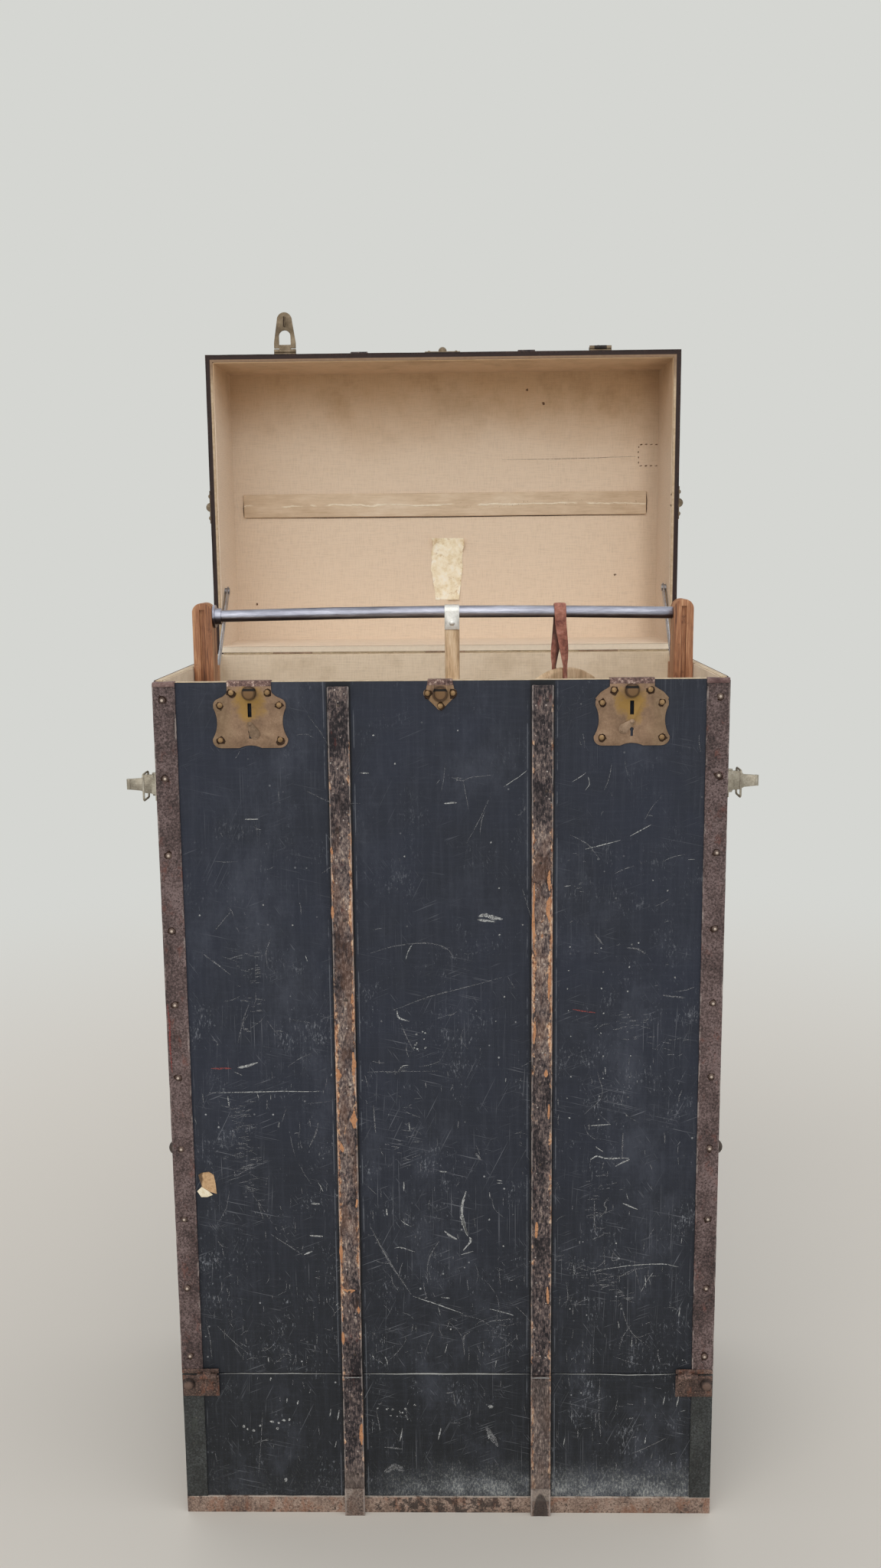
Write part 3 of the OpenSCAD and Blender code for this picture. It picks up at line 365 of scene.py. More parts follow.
def mix_strip(name, dark, mid, light, rust="#7c5138", rusted=0.6, **worn):
    """Enamelled iron: worn may hold a middle line and a half width, or the top of a foot band."""
    p = Paint(name, Specular_IOR_Level=0.4)
    coarse = p.cloud(0.035, 7.0, 0.68, (1, 1, 1.6), 1.0)
    pitted = p.cloud(0.0024, 6.0, 0.72, shift=7.0)
    sunned = p.step(p.z, 0.35, 0.55) * p.step(p.z, 1.0, 0.85) * 0.025
    colour = p.ramp(coarse * 0.4 + pitted * 0.6 + sunned, (0.4, dark), (0.5, mid), (0.6, light))
    rusty = p.step(p.cloud(0.016, 8.0, 0.76, (1, 1, 1.8), 13.0), 1.0 - rusted, 1.1 - rusted)
    colour = p.over(rusty * 0.55, colour, rust)
    holes = p.step(p.cells(0.0034, "F1", shift=3.0), 0.3, 0.12) * p.step(coarse, 0.42, 0.6)
    colour = p.over(holes * 0.55, colour, "#1f1918")
    pale = p.step(p.cloud(0.005, 7.0, 0.78, (1, 1, 1.6), 19.0), 0.62, 0.72)
    colour = p.over(pale * 0.5, colour, "#b9aba0")
    if "middle" in worn:
        side = abs(abs(p.x) - worn["middle"])
        edge = p.step(side, worn["half"] * 0.8, worn["half"] * 0.96)
        edge = edge * p.step(p.cloud(0.005, 7.0, 0.78, (1, 1, 6), 23.0), 0.5, 0.6)
        colour = p.over(edge * 0.6, colour, "#b3a7a0")
    if "top" in worn:
        blots = p.cloud(0.012, 7.0, 0.8, shift=29.0) + p.step(abs(p.x), 0.13, 0.05) * 0.1
        colour = p.over(p.step(blots, 0.56, 0.62) * 0.8, colour, "#211b1b")
        line = p.step(p.z, worn["top"] - 0.002, worn["top"] - 0.0008)
        colour = p.over(line * p.step(coarse, 0.4, 0.5) * 0.7, colour, "#cfc4b8")
        foot = p.step(abs(abs(p.x) - SLAT_X), SLAT_HALF + 0.0004, SLAT_HALF)
        beside = abs(p.x) - SLAT_X
        arch = p.z * p.z * ARCH_HIGH**-2 + beside * beside * ARCH_HALF**-2
        colour = p.over(foot * 0.7, colour, p.ramp(pitted, (0.4, "#463b36"), (0.62, "#7f7067")))
        # Painted shade: an arch-shaped hollow at the foot of the right slat is made dark.
        hollow = foot * p.step(arch, 1.1, 0.85) * p.step(p.x, -0.05, 0.05)
        colour = p.over(hollow * 0.8, colour, "#37302e")
        rims = foot * p.step(abs(beside), SLAT_HALF * 0.8, SLAT_HALF * 0.93)
        colour = p.over(rims * 0.5, colour, "#aca098")
    # Painted shade: a dark ring round each bolt, with the bolt head paler inside it.
    for where_x, where_z, radius in worn.get("bolts", []):
        across, up = abs(p.x) - where_x, p.z - where_z
        ring = (across * across + up * up).root()
        colour = p.over(p.step(ring, radius * 1.35, radius * 1.05) * 0.75, colour, "#1a1311")
        colour = p.over(p.step(ring, radius, radius * 0.6) * 0.45, colour, "#8d7264")
    return p.finish(colour, 0.55 + pitted * 0.3, pitted + coarse - holes * 1.4, 0.0007)


brown_enamel, foot_paint = ("#231b1c", "#524240", "#7b6967"), ("#554540", "#897466", "#ab9688")
black_enamel, hinge_rust = ("#1f2020", "#303231", "#4a4d4d"), ("#211816", "#513f38", "#836a5f")
edges = {"middle": STRIP_X, "half": STRIP_HALF}
brown_strip = mix_strip("brown enamel strip", *brown_enamel, "#6f4339", 0.44, **edges)
black_strip = mix_strip("black enamel strip", *black_enamel, "#3f433e", 0.45)
foot_strip = mix_strip("rubbed foot band", *foot_paint, "#8b5f48", 0.5, top=FOOT_TOP)
rust_iron = mix_strip("rusted hinge iron", *hinge_rust, "#74452f", 0.48, bolts=LEAF_BOLTS)
lid_strip = mix_strip("lid binding", "#160e0d", "#291b18", "#45302a", rusted=0.36)
print("strips mixed")

# %% [markdown]
# ## Metals
# The lock plates were brass-plated: grey-brown with a bloom of yellow round the slot and the hood,
# where fingers kept them rubbed. The draw latches are dull nickel, one hasp is nickel gone brown and
# the other is blackened iron. The rail is drawn steel tube, with streaks of grey tarnish along it and
# painted shade on its underside, and the door's rivets get a painted highlight on their fronts.
# Three colours and two sizes of noise are enough for all of them.


# %% Mix the metals
def mix_metal(name, dark, mid, light, rough=0.4, metal=0.85, stretch=(1, 1, 1), **more):
    """Metal with tarnish. It may have painted shade under a height, and a painted highlight in front of a
    plane.
    """
    spot, under, rubbed = more.get("spot", "#3b3129"), more.get("under"), more.get("rubbed")
    p = Paint(name)
    broad = p.cloud(0.018, 6.0, 0.62, stretch, 2.0)
    fine = p.cloud(0.002, 5.0, 0.65, stretch, 5.0)
    colour = p.ramp(broad * 0.65 + fine * 0.35, (0.34, dark), (0.5, mid), (0.66, light))
    spots = p.step(p.cloud(0.004, 6.0, 0.75, shift=15.0), 0.64, 0.72)
    colour = p.over(spots * 0.6, colour, spot)
    if under:
        shade = p.step(p.z + (broad - 0.5) * 0.003, under, under - 0.0035)
        colour = p.over(shade * 0.85, colour, "#382a2c")
    # Painted highlight: the metal is made pale in front of a plane, which puts a highlight on the front
    # of each rivet dome.
    if rubbed:
        colour = p.over(p.step(p.y, rubbed + 0.0005, rubbed + 0.0001), colour, "#c3b4a6")
    rough = rough + fine * 0.3 + spots * 0.2
    return p.finish(colour, rough, fine - spots * 0.5, 0.0002, Metallic=metal - spots * 0.5)


print("metal mixer ready")


# %% Mix the lock plates
LOCK_X, GLOW_Z, FOLD_Z = 0.232, 1.090, 1.1122


def mix_plate(name, middle, cup_z, cup_r, glow=0.75):
    """Brass plate: a cup or hood casts its shade on it, and fingers kept it yellow near the slot."""
    p = Paint(name)
    side, up, cup = abs(p.x) - middle, p.z - GLOW_Z, p.z - cup_z
    near = p.step((side * side + up * up * 0.6).root(), 0.034, 0.004)
    fine = p.cloud(0.0022, 6.0, 0.7)
    broad = p.cloud(0.02, 5.0, 0.6, shift=3.0)
    colour = p.ramp(fine * 0.4 + broad * 0.6, (0.36, "#755d49"), (0.52, "#8f745d"), (0.66, "#a58b72"))
    olive = p.step(side + broad * 0.03, 0.03, 0.05)
    colour = p.over(olive * 0.35, colour, "#6d5c41")
    rubbed = p.step(near + (broad - 0.5) * 2.2, 0.3, 1.0)
    colour = p.over(rubbed * glow, colour, "#9a772f")
    grime_and_shade = p.step(p.cloud(0.007, 7.0, 0.75, shift=9.0), 0.58, 0.7)
    colour = p.over(grime_and_shade * 0.45, colour, "#5b4735")
    # Painted shade round the cup or hood, a painted highlight on the dome inside it, and a black line of
    # painted shade along its mouth.
    ring = (side * side + cup * cup).root()
    colour = p.over(p.step(ring, cup_r * 1.25, cup_r * 0.95) * 0.85, colour, "#3e2a1b")
    colour = p.over(p.step(ring, cup_r * 0.85, cup_r * 0.6) * 0.6, colour, "#8a6a48")
    mouth = p.step(abs(cup - cup_r * 0.5), 0.002, 0.001) * p.step(ring, cup_r * 1.1, cup_r)
    colour = p.over(mouth, colour, "#15100e")
    folded = p.step(p.z, FOLD_Z, FOLD_Z + 0.0012)
    copper = p.ramp(p.cloud(0.004, 6.0, 0.75), (0.4, "#4d3a38"), (0.54, "#7d625b"), (0.66, "#cbb6a8"))
    colour = p.over(folded, colour, copper)
    rough = 0.42 + fine * 0.25 + grime_and_shade * 0.15
    return p.finish(colour, rough, fine * 0.7 - grime_and_shade * 0.5, 0.0002, Metallic=0.5 - grime_and_shade * 0.2)


plate_brass = mix_plate("aged brass plate", LOCK_X, 1.1048, 0.0085)
catch_brass = mix_plate("aged brass catch", 0.0, 1.1020, 0.009, 0.2)
print("plates mixed")

# %% Mix the plain metals
RAIL_SHADE_Z, TUBE = 1.1873, (9, 1, 1)
rivet_top = min(v.co.y for v in nodes["door_rivets"].data.vertices)
tarnished = mix_metal("tarnished nickel", "#524537", "#786853", "#9c8c76", 0.4, 0.5)
old_brass = mix_metal("old brass", "#63513f", "#866f5a", "#a58c75", 0.42, 0.5)
rivet_metal = mix_metal("rubbed rivet", "#3b2f2b", "#5c4b44", "#7c6a60", 0.4, 0.4, rubbed=rivet_top)
brass_head = mix_metal("brass rivet", "#6b5236", "#987a55", "#c4a67c", 0.32, 0.5)
nickel = mix_metal("dull nickel", "#7d7468", "#a29a8b", "#c9c2b4", 0.28, 0.7)
grey_spots = {"stretch": TUBE, "spot": "#4b4a4e"}
steel = mix_metal("drawn steel tube", "#7b7c84", "#a9abb3", "#d2d4d9", 0.2, 0.9, **grey_spots)
grey_spots["under"] = RAIL_SHADE_Z
rail_steel = mix_metal("rail tube", "#74757f", "#a3a5b5", "#d0d3e2", 0.2, 0.85, **grey_spots)
bright = mix_metal("white metal clip", "#c8c7c3", "#e6e6e3", "#f7f7f5", 0.25, 0.75)
dark_iron = mix_metal("dull iron", "#332b27", "#4c423c", "#695d55", 0.45, 0.5)
black_iron = mix_metal("blackened iron", "#171312", "#2b2422", "#544a45", 0.4, 0.5)
folded_cap = mix_metal("worn folded cap", "#4a3536", "#6d5351", "#97807a", 0.45, 0.4)
print("metals mixed")

# %% [markdown]
# ## Linen and paper
# The lining is unbleached linen pasted on the boards. It is darker towards the far end of the lid,
# a warm brown that is partly age and partly painted shade, and the part by the rim is still the
# colour of sand. In the box the linen is a little lighter towards the top. Two crossed waves make
# threads, and a few long ones are thicker than the rest. The inner slat has the same cloth with a
# line of dried glue, and the paper is cream with brown foxing.


# %% Mix the linens
def mix_linen(name, pale, mid, dark, low, high):
    """Linen whose colour changes between two heights, partly with age and partly as painted shade."""
    p = Paint(name, Specular_IOR_Level=0.2, Sheen_Weight=0.15)
    across, up = p.x.wave(LINEN_THREADS), (p.y + p.z).wave(LINEN_THREADS)
    slubs = p.cloud(0.0009, 3.0, 0.6, (20, 20, 1)) + p.cloud(0.0009, 3.0, 0.6, (1, 1, 20), 4.0)
    aged_and_shaded = p.step(p.z + p.cloud(0.2, 5.0, 0.6) * 0.12, low, high)
    colour = p.over(aged_and_shaded, pale, mid)
    blotch = p.step(p.cloud(0.07, 7.0, 0.66, shift=2.0), 0.44, 0.7)
    colour = p.over(blotch * aged_and_shaded * 0.45, colour, dark)
    shaded = p.step(p.x, 0.3, 0.336) * p.step(p.z, 1.12, 1.14)
    colour = p.over(shaded * 0.35, colour, "#8a6b4c")
    spots = p.step(p.cloud(0.006, 6.0, 0.75, shift=12.0), 0.66, 0.76)
    colour = p.over(spots * 0.5, colour, "#8a6746")
    colour = p.over(p.step(slubs, 0.9, 1.3) * 0.16, colour, "#7d6348")
    return p.finish(colour, 0.85 + blotch * 0.05, across * 0.2 + up * 0.2 + slubs, 0.0003)


lid_linen = mix_linen("lid linen", "#ebd6be", "#cca983", "#a08059", 1.47, 1.6)
box_linen = mix_linen("box linen", "#dccaae", "#e4d2b9", "#bba587", 0.9, 1.2)
print("linens mixed")


# %% Mix the linen over the inner slat
def mix_slat_linen(middle=1.345):
    """Linen over the inner slat, with the dried glue line that runs along it."""
    p = Paint("linen over the inner slat", Specular_IOR_Level=0.2)
    threads = p.cloud(0.0012, 3.0, 0.6, (24, 24, 1))
    blotch = p.cloud(0.03, 7.0, 0.7, (3, 1, 1), 2.0)
    colour = p.ramp(blotch * 0.7 + threads * 0.3, (0.36, "#c8b094"), (0.52, "#dac4a9"), (0.66, "#e6d4bd"))
    height = p.z - middle - (p.cloud(0.02, 4.0, 0.6, (2.5, 1, 1), 9.0) - 0.5) * 0.016
    glue = p.step(abs(height), 0.0016, 0.0006)
    gaps = p.step(p.cloud(0.06, 3.0, shift=5.0), 0.4, 0.5)
    colour = p.over(glue * gaps * 0.85, colour, "#f6ead4")
    ticks = p.step(p.cloud(0.0022, 3.0, 0.7, (1, 1, 4), 14.0), 0.6, 0.68)
    ticks = ticks * p.step(abs(height), 0.006, 0.003) * p.step(p.x, -0.02, 0.05)
    colour = p.over(ticks * 0.7, colour, "#8c6a50")
    return p.finish(colour, 0.86 + blotch * 0.05, glue * gaps + threads * 0.3, 0.0005)


slat_linen = mix_slat_linen()
print("slat linen mixed")


# %% Mix the papers
def mix_paper(middle=0.003, half=0.026):
    """Cream paper, foxed all over and stained along its sides."""
    p = Paint("bare old paper", Specular_IOR_Level=0.2)
    cockle = p.cloud(0.012, 6.0, 0.66)
    colour = p.ramp(cockle, (0.34, "#e9d8b4"), (0.5, "#fbf0d6"), (0.64, "#fffaea"))
    edge = p.step(abs(p.x - middle), half * 0.72, half)
    stain = p.step(p.cloud(0.014, 7.0, 0.74, shift=6.0) + edge * 0.08, 0.56, 0.66)
    colour = p.over(stain * 0.5, colour, "#b98f4e")
    foxed = p.step(p.cloud(0.003, 6.0, 0.75, shift=16.0), 0.62, 0.7)
    colour = p.over(foxed * 0.4, colour, "#7a6844")
    return p.finish(colour, 0.75 + cockle * 0.1, cockle, 0.0008)


paper = mix_paper()
SCRAP_Y, SCRAP_FOLD, TORN_X, TORN_Z = -0.2182, 0.0008, -0.3095, 0.466


def mix_scrap():
    """Brown backing paper with its cream face folded up at the bottom."""
    p = Paint("torn scrap", Specular_IOR_Level=0.2)
    fibre = p.cloud(0.004, 6.0, 0.7)
    tan = p.ramp(fibre, (0.36, "#ab8a66"), (0.6, "#cba983"))
    cream = p.ramp(fibre, (0.36, "#d9c9a8"), (0.6, "#efe5cc"))
    torn = p.step(p.x + p.cloud(0.008) * 0.006, TORN_X + 0.001, TORN_X - 0.001)
    tan = p.over(torn * p.step(p.z, TORN_Z - 0.002, TORN_Z + 0.002) * 0.8, tan, "#3a2a22")
    folded = p.step(p.y, SCRAP_Y - 0.0002, SCRAP_Y - 0.0005)
    return p.finish(p.over(folded, tan, cream), 0.8 + fibre * 0.1, fibre, 0.0004)


scrap_paper = mix_scrap()
print("papers mixed")

# %% [markdown]
# ## Bare and varnished woods
# The rail's arms are reddish varnished beech with a dark upright grain, the hangers are the same
# wood left bare, and the base board is raw ply. They differ only in colour, in how long the grain
# is drawn and in which direction it runs.


# %% Mix the woods
def mix_wood(name, dark, mid, light, stretch, rough=0.5, knots=0.3):
    """Wood whose grain and rings run the way of the largest stretch."""
    p = Paint(name, Specular_IOR_Level=0.4)
    grain = p.cloud(0.0017, 4.0, 0.6, stretch)
    rings = p.cloud(0.011, 3.0, 0.55, stretch, 4.0)
    colour = p.ramp(grain * 0.45 + rings * 0.55, (0.34, dark), (0.5, mid), (0.64, light))
    dirt = p.step(p.cloud(0.02, 7.0, 0.72, shift=9.0), 0.56, 0.7)
    colour = p.over(dirt * knots, colour, dark)
    return p.finish(colour, rough + grain * 0.2, grain, 0.0004)


arm_wood = mix_wood("varnished arm wood", "#5d3a29", "#a5714f", "#cc9d76", (1, 1, 16), 0.4, 0.7)
hanger_wood = mix_wood("bare hanger wood", "#a08260", "#cfb18d", "#e4cdad", (1, 14, 10))
raw_board = mix_wood("raw board", "#8a704c", "#a98c63", "#c4a97f", (14, 1, 14), 0.7)
print("woods mixed")

# %% [markdown]
# ## Leather, thread and marks
# Leather is a cell pattern for the pores under a soft change of colour for the wear. Marks, such as
# chalk and scrapes, are thin sheets over the canvas. Their material is see-through and broken by a
# noise, so that even a straight sheet looks like something that was rubbed on.


# %% Mix leather, thread and marks
def mix_leather(name, dark, mid, light, back=1.0):
    """Leather painted darker behind a plane: painted shade on the strap's strand behind the rail."""
    p = Paint(name, Specular_IOR_Level=0.45)
    pores = p.step(p.cells(0.0016, wobble=0.6), 0.0, 0.25)
    wear = p.cloud(0.01, 6.0, 0.65, shift=3.0)
    colour = p.ramp(wear, (0.34, dark), (0.52, mid), (0.68, light))
    creases = p.step(p.cloud(0.0015, 3.0, 0.6, (7, 7, 1), 5.0), 0.6, 0.68)
    colour = p.over(creases * 0.4, colour, dark)
    colour = p.over(p.step(p.y, back, back + 0.004) * 0.8, colour, "#3b2420")
    return p.finish(colour, 0.42 + wear * 0.25, pores - creases, 0.0003)


def mix_thread(name, colour):
    """Waxed thread. Its roughness is a flat number, written as a sum so that it can be linked."""
    p = Paint(name, Specular_IOR_Level=0.2)
    return p.finish(p.over(p.step(p.cloud(0.004), 0.4, 0.6) * 0.5, colour, "#6a5a45"), 0.8 + p.x * 0)


def mix_mark(name, colour, cover, gaps, dull="#8d8c88", size=0.0022, fade=0.14):
    """Chalk, paint, a scrape, a stain or painted shade on a surface: see-through, and broken by gaps."""
    p = Paint(name, Specular_IOR_Level=0.1)
    broken = p.step(p.cloud(size, 7.0, 0.8, shift=7.0), gaps, gaps + fade)
    tint = p.over(p.cloud(0.006, 4.0), colour, dull)
    return p.finish(tint, 0.8 + broken * 0.1, Alpha=broken * cover)


stitch_thread = mix_thread("waxed thread", "#a08a66")
white_mark = mix_mark("white scrape", "#cfd2d2", 0.85, 0.4)
seam_mark = mix_mark("pale line at the seam", "#c6c8c6", 0.8, 0.2)
bare_mark = mix_mark("chipped bare wood", "#d8a67e", 0.9, 0.36, "#9b6343", 0.003, 0.1)
dark_mark = mix_mark("dark stain and painted shadow", "#33241d", 0.8, 0.3, "#4b382c")
faint_mark = mix_mark("faint scrape", "#aeb0b4", 0.46, 0.42)
red_mark = mix_mark("red paint mark", "#9c4a46", 0.8, 0.4, "#8a5552")
painted_shade_mark = mix_mark("painted shade round rivets and in a slot", "#2a1d17", 0.75, 0.3, "#3b2b22")
brown_mark = mix_mark("brown ink mark", "#5f3f2d", 0.8, 0.36, "#7a5a44")
strap_leather = mix_leather("strap leather", "#78443a", "#b07361", "#cb9584", back=0.003)
handle_leather = mix_leather("handle leather", "#1d1310", "#3a2820", "#584034")
print("leathers, thread and marks mixed")

# %% [markdown]
# ## Dressing the solids
# A solid from the frame is made of loose triangles with knife-sharp edges. Real boards and strips
# catch light along a small round, so a copy is welded, its flat faces are joined, and every sharp
# edge gets a bevel. The copy then stands for the node, which stays behind for the physics.

# %% Helpers that turn a bmesh into a piece
body_of_node = {n: b for b, ns in frame["record"]["behaviour"]["bodies"].items() for n in ns}


def make_piece(name, bm, body, material, angle=35, outward=True):
    """Writes the bmesh to an object at the origin that rides on a body, if one is given."""
    if outward:
        bmesh.ops.recalc_face_normals(bm, faces=bm.faces)
    mesh = bpy.data.meshes.new(name)
    bm.to_mesh(mesh)
    bm.free()
    mesh.materials.append(material)
    mesh.shade_smooth()
    mesh.set_sharp_from_angle(angle=radians(angle))
    piece = bpy.data.objects.new(name, mesh)
    bpy.context.scene.collection.objects.link(piece)
    if body:
        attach(piece, body)
    return piece


def welded(node):
    """A copy of a node with its doubles merged and its flat faces joined."""
    bm = bmesh.new()
    bm.from_mesh(nodes[node].data)
    bmesh.ops.remove_doubles(bm, verts=bm.verts, dist=2e-6)
    bmesh.ops.dissolve_limit(bm, angle_limit=radians(0.6), verts=bm.verts, edges=bm.edges)
    return bm


def soften(bm, width, segments=2, angle=40):
    """Bevels every edge that is sharper than the angle."""
    sharp = [e for e in bm.edges if e.is_manifold and e.calc_face_angle(0) > radians(angle)]
    bmesh.ops.bevel(
        bm,
        geom=sharp,
        offset=width,
        offset_type="OFFSET",
        segments=segments,
        profile=0.5,
        affect="EDGES",
        clamp_overlap=True,
        material=-1,
    )


def slices(bm, axis, pitch):
    """Cuts the mesh across an axis at a pitch, so that it has points to move."""
    low = min(v.co[axis] for v in bm.verts)
    high = max(v.co[axis] for v in bm.verts)
    normal = [float(i == axis) for i in range(3)]
    for i in range(1, int((high - low) / pitch)):
        where = [low + i * pitch if j == axis else 0 for j in range(3)]
        geom = bm.verts[:] + bm.edges[:] + bm.faces[:]
        bmesh.ops.bisect_plane(bm, geom=geom, plane_co=where, plane_no=normal)


def unsettle(bm, amount, size):
    """Moves points by a smooth noise, as old boards and beaten tin are never straight. The noise
    starts anew in each run, so two runs leave a slat uneven in two different ways."""
    for v in bm.verts:
        v.co += noise.noise_vector(v.co / size) * amount


def curve(points, steps):
    """A smooth line through the points, with so many steps between two of them."""
    points = [Vector(q) for q in points]
    padded = [2 * points[0] - points[1], *points, 2 * points[-1] - points[-2]]
    line = []
    for a, b, c, d in zip(padded, padded[1:], padded[2:], padded[3:]):
        for i in range(steps):
            t = i / steps
            bend = (2 * a - 5 * b + 4 * c - d) * t**2 + (3 * b - a - 3 * c + d) * t**3
            line.append(b + ((c - a) * t + bend) / 2)
    return line + [points[-1]]


def heading(line, i):
    """The direction of a line of points at one of them."""
    return (line[min(i + 1, len(line) - 1)] - line[max(i - 1, 0)]).normalized()


def flat_oval(half_width, half_thickness, square, full, count):
    """Points (u, v) round a flat section. Powers under 1 fill out its corners."""
    section = []
    for k in range(count):
        a = 2 * pi * k / count
        u = half_width * abs(cos(a)) ** square * (1 if cos(a) > 0 else -1)
        v = half_thickness * abs(sin(a)) ** full * (1 if sin(a) > 0 else -1)
        section.append((u, v))
    return section


def skin(bm, rings, caps=True):
    """Joins closed rings of points, each to the next, into one tube."""
    rings = [[bm.verts.new(q) for q in ring] for ring in rings]
    for one, two in zip(rings, rings[1:]):
        for i in range(len(one)):
            bm.faces.new((one[i - 1], one[i], two[i], two[i - 1]))
    if caps:
        bm.faces.new(rings[0][::-1])
        bm.faces.new(rings[-1])


def node_box(node):
    """The lowest and the highest corner of a node's own mesh."""
    points = [v.co for v in nodes[node].data.vertices]
    low = [min(q[i] for q in points) for i in range(3)]
    high = [max(q[i] for q in points) for i in range(3)]
    return low, high


def dress(node, material, width=0.0006, segments=2, cuts=None, amount=0.0, size=0.03):
    """The worn copy of a node, cut, bevelled and made uneven, but kept inside the node's box."""
    bm = welded(node)
    for axis, pitch in cuts or []:
        slices(bm, axis, pitch)
    soften(bm, width, segments)
    if amount:
        unsettle(bm, amount, size)
    low, high = node_box(node)
    for v in bm.verts:
        v.co = [min(max(c, a), b) for c, a, b in zip(v.co, low, high)]
    piece = make_piece(node + "_worn", bm, body_of_node[node], material)
    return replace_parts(piece, node)


# %% [markdown]
# ## The flat solids keep their mesh
# Panels whose edges lie under strips need no bevel. They keep the frame's own mesh and only get a
# better material in place of the plain one.

# %% Paint the nodes that stay as they are
painted = {
    canvas: "lower_front door_panel left_side right_side back_panel",
    lid_canvas: "lid_top lid_front lid_back lid_left lid_right",
    raw_board: "base_board",
    old_brass: "lid_hinge_box_leaves lid_hinge_leaves",
    dark_iron: "side_studs lock_cases",
    nickel: "latch_loop_left latch_loop_right door_keepers",
    steel: "stay_box_pins stay_lid_pins",
}
for material, names in painted.items():
    for name in names.split():
        nodes[name].data.materials.clear()
        nodes[name].data.materials.append(material)
print("painted", sum(len(n.split()) for n in painted.values()), "nodes")

# %% [markdown]
# ## Slats, strips and bands
# Long thin pieces show their age in their outline. They are cut into short lengths first, bevelled,
# and then every point is pushed a fraction of a millimetre by a smooth noise.

# %% Dress the long pieces
ACROSS, DEEP, UP = 0, 1, 2
long_pieces = [
    ("door_slats lower_slats", slat_wood, 0.0014, {UP: 0.012}, 0.00045, 0.014),
    ("outer_slats", slat_wood, 0.0012, {UP: 0.012}, 0.0004, 0.014),
    ("lid_slats", lid_slat_wood, 0.0012, {DEEP: 0.012, UP: 0.012}, 0.0003, 0.014),
    ("door_strips side_edging", brown_strip, 0.0009, {UP: 0.014}, 0.0004, 0.02),
    ("corner_strips", black_strip, 0.0009, {UP: 0.02}, 0.0003, 0.02),
    ("base_binding", foot_strip, 0.0009, {ACROSS: 0.014}, 0.0004, 0.02),
    ("lid_binding", lid_strip, 0.0009, {ACROSS: 0.02, DEEP: 0.02, UP: 0.02}, 0.0005, 0.03),
]
for names, material, width, cuts, amount, size in long_pieces:
    for name in names.split():
        dress(name, material, width, 2, cuts.items(), amount, size)
print("long pieces dressed")

# %% [markdown]
# ## Fittings
# Small iron and brass only needs its edges taken off. The right hasp is the exception: on the real
# trunk it is a lump of blackened iron, so it is cut up, rounded more and pushed about.

# %% Dress the fittings
fittings = [
    ("seam_hinge_leaves door_hinge_leaves", rust_iron, 0.0004),
    ("lock_plate_left lock_plate_right", plate_brass, 0.00025),
    ("keyhole_cover_left keyhole_cover_right", old_brass, 0.00025),
    ("centre_catch", catch_brass, 0.00025),
    ("hasp_left lid_fittings", tarnished, 0.00035),
    ("hasp_right", black_iron, 0.0008, 3, [(ACROSS, 0.006), (DEEP, 0.006)], 0.0005, 0.01),
    ("latch_bases", nickel, 0.00035),
    ("latch_lever_left latch_lever_right", nickel, 0.0006),
    ("handle_fittings", dark_iron, 0.0004),
    ("door_rivets", rivet_metal, 0.0001),
    ("stay_left stay_right", steel, 0.0003),
    ("rail", rail_steel, 0.0003),
    ("hanger_clip", bright, 0.0003),
]
for names, material, *how in fittings:
    for name in names.split():
        dress(name, material, *how)
print("fittings dressed")

# %% Dress the woods and linings
for name in ["arm_left", "arm_right"]:
    dress(name, arm_wood, 0.0015, 3, [(UP, 0.02)], 0.0003, 0.03)
dress("arm_guides", arm_wood, 0.001)
for name in ["clip_hanger", "strap_hanger"]:
    dress(name, hanger_wood, 0.004, 3)
for name, linen in [("box_lining", box_linen), ("door_lining", box_linen), ("lid_lining", lid_linen)]:
    dress(name, linen, 0.0004)
dress("lid_inner_slat", slat_linen, 0.0012, 3)
print("woods and linings dressed")

# %% [markdown]
# ## Leather
# The second hanger hangs by a leather strap. It lies flat over the rail, then both ends turn by a
# sixth of a circle on their way down, because the hanger stands at a slant to the rail. Its
# section is a flat oval that is carried along a smooth line and turned a little at each step.

# %% The strap's line
RAIL_R, STRAP_T, STRAP_W, TURN = 0.0088, 0.0023, 0.016, radians(65)
STRAP_X, RAIL_Z, HANGER_HALF = 0.159, 1.1909, 0.0081
STRAP_FALL = [(0.1, 0.0094, 0.016), (0.45, 0.0062, 0.036), (0.85, 0.0020, 0.056)]
TWIST_START, TWIST_LENGTH, NARROWED, NARROW_LENGTH = 0.012, 0.062, 0.12, 0.04
reach = RAIL_R + STRAP_T / 2


def strap_half(side):
    """Half of the strap's line, from the top of the rail down to one face of the hanger."""
    end = Vector((sin(TURN), -cos(TURN), 0)) * HANGER_HALF * side
    quarter = [pi / 2 * i / 4 for i in range(5)]
    over = [Vector((0, -side * reach * sin(a), reach * cos(a))) for a in quarter]
    down = [end * t + Vector((0, -y * side, -z)) for t, y, z in STRAP_FALL]
    return over + down + [end + Vector((0, 0, z)) for z in (-0.074, -0.084, -0.0935)]


print("strap line has", len(strap_half(1)), "points a side")

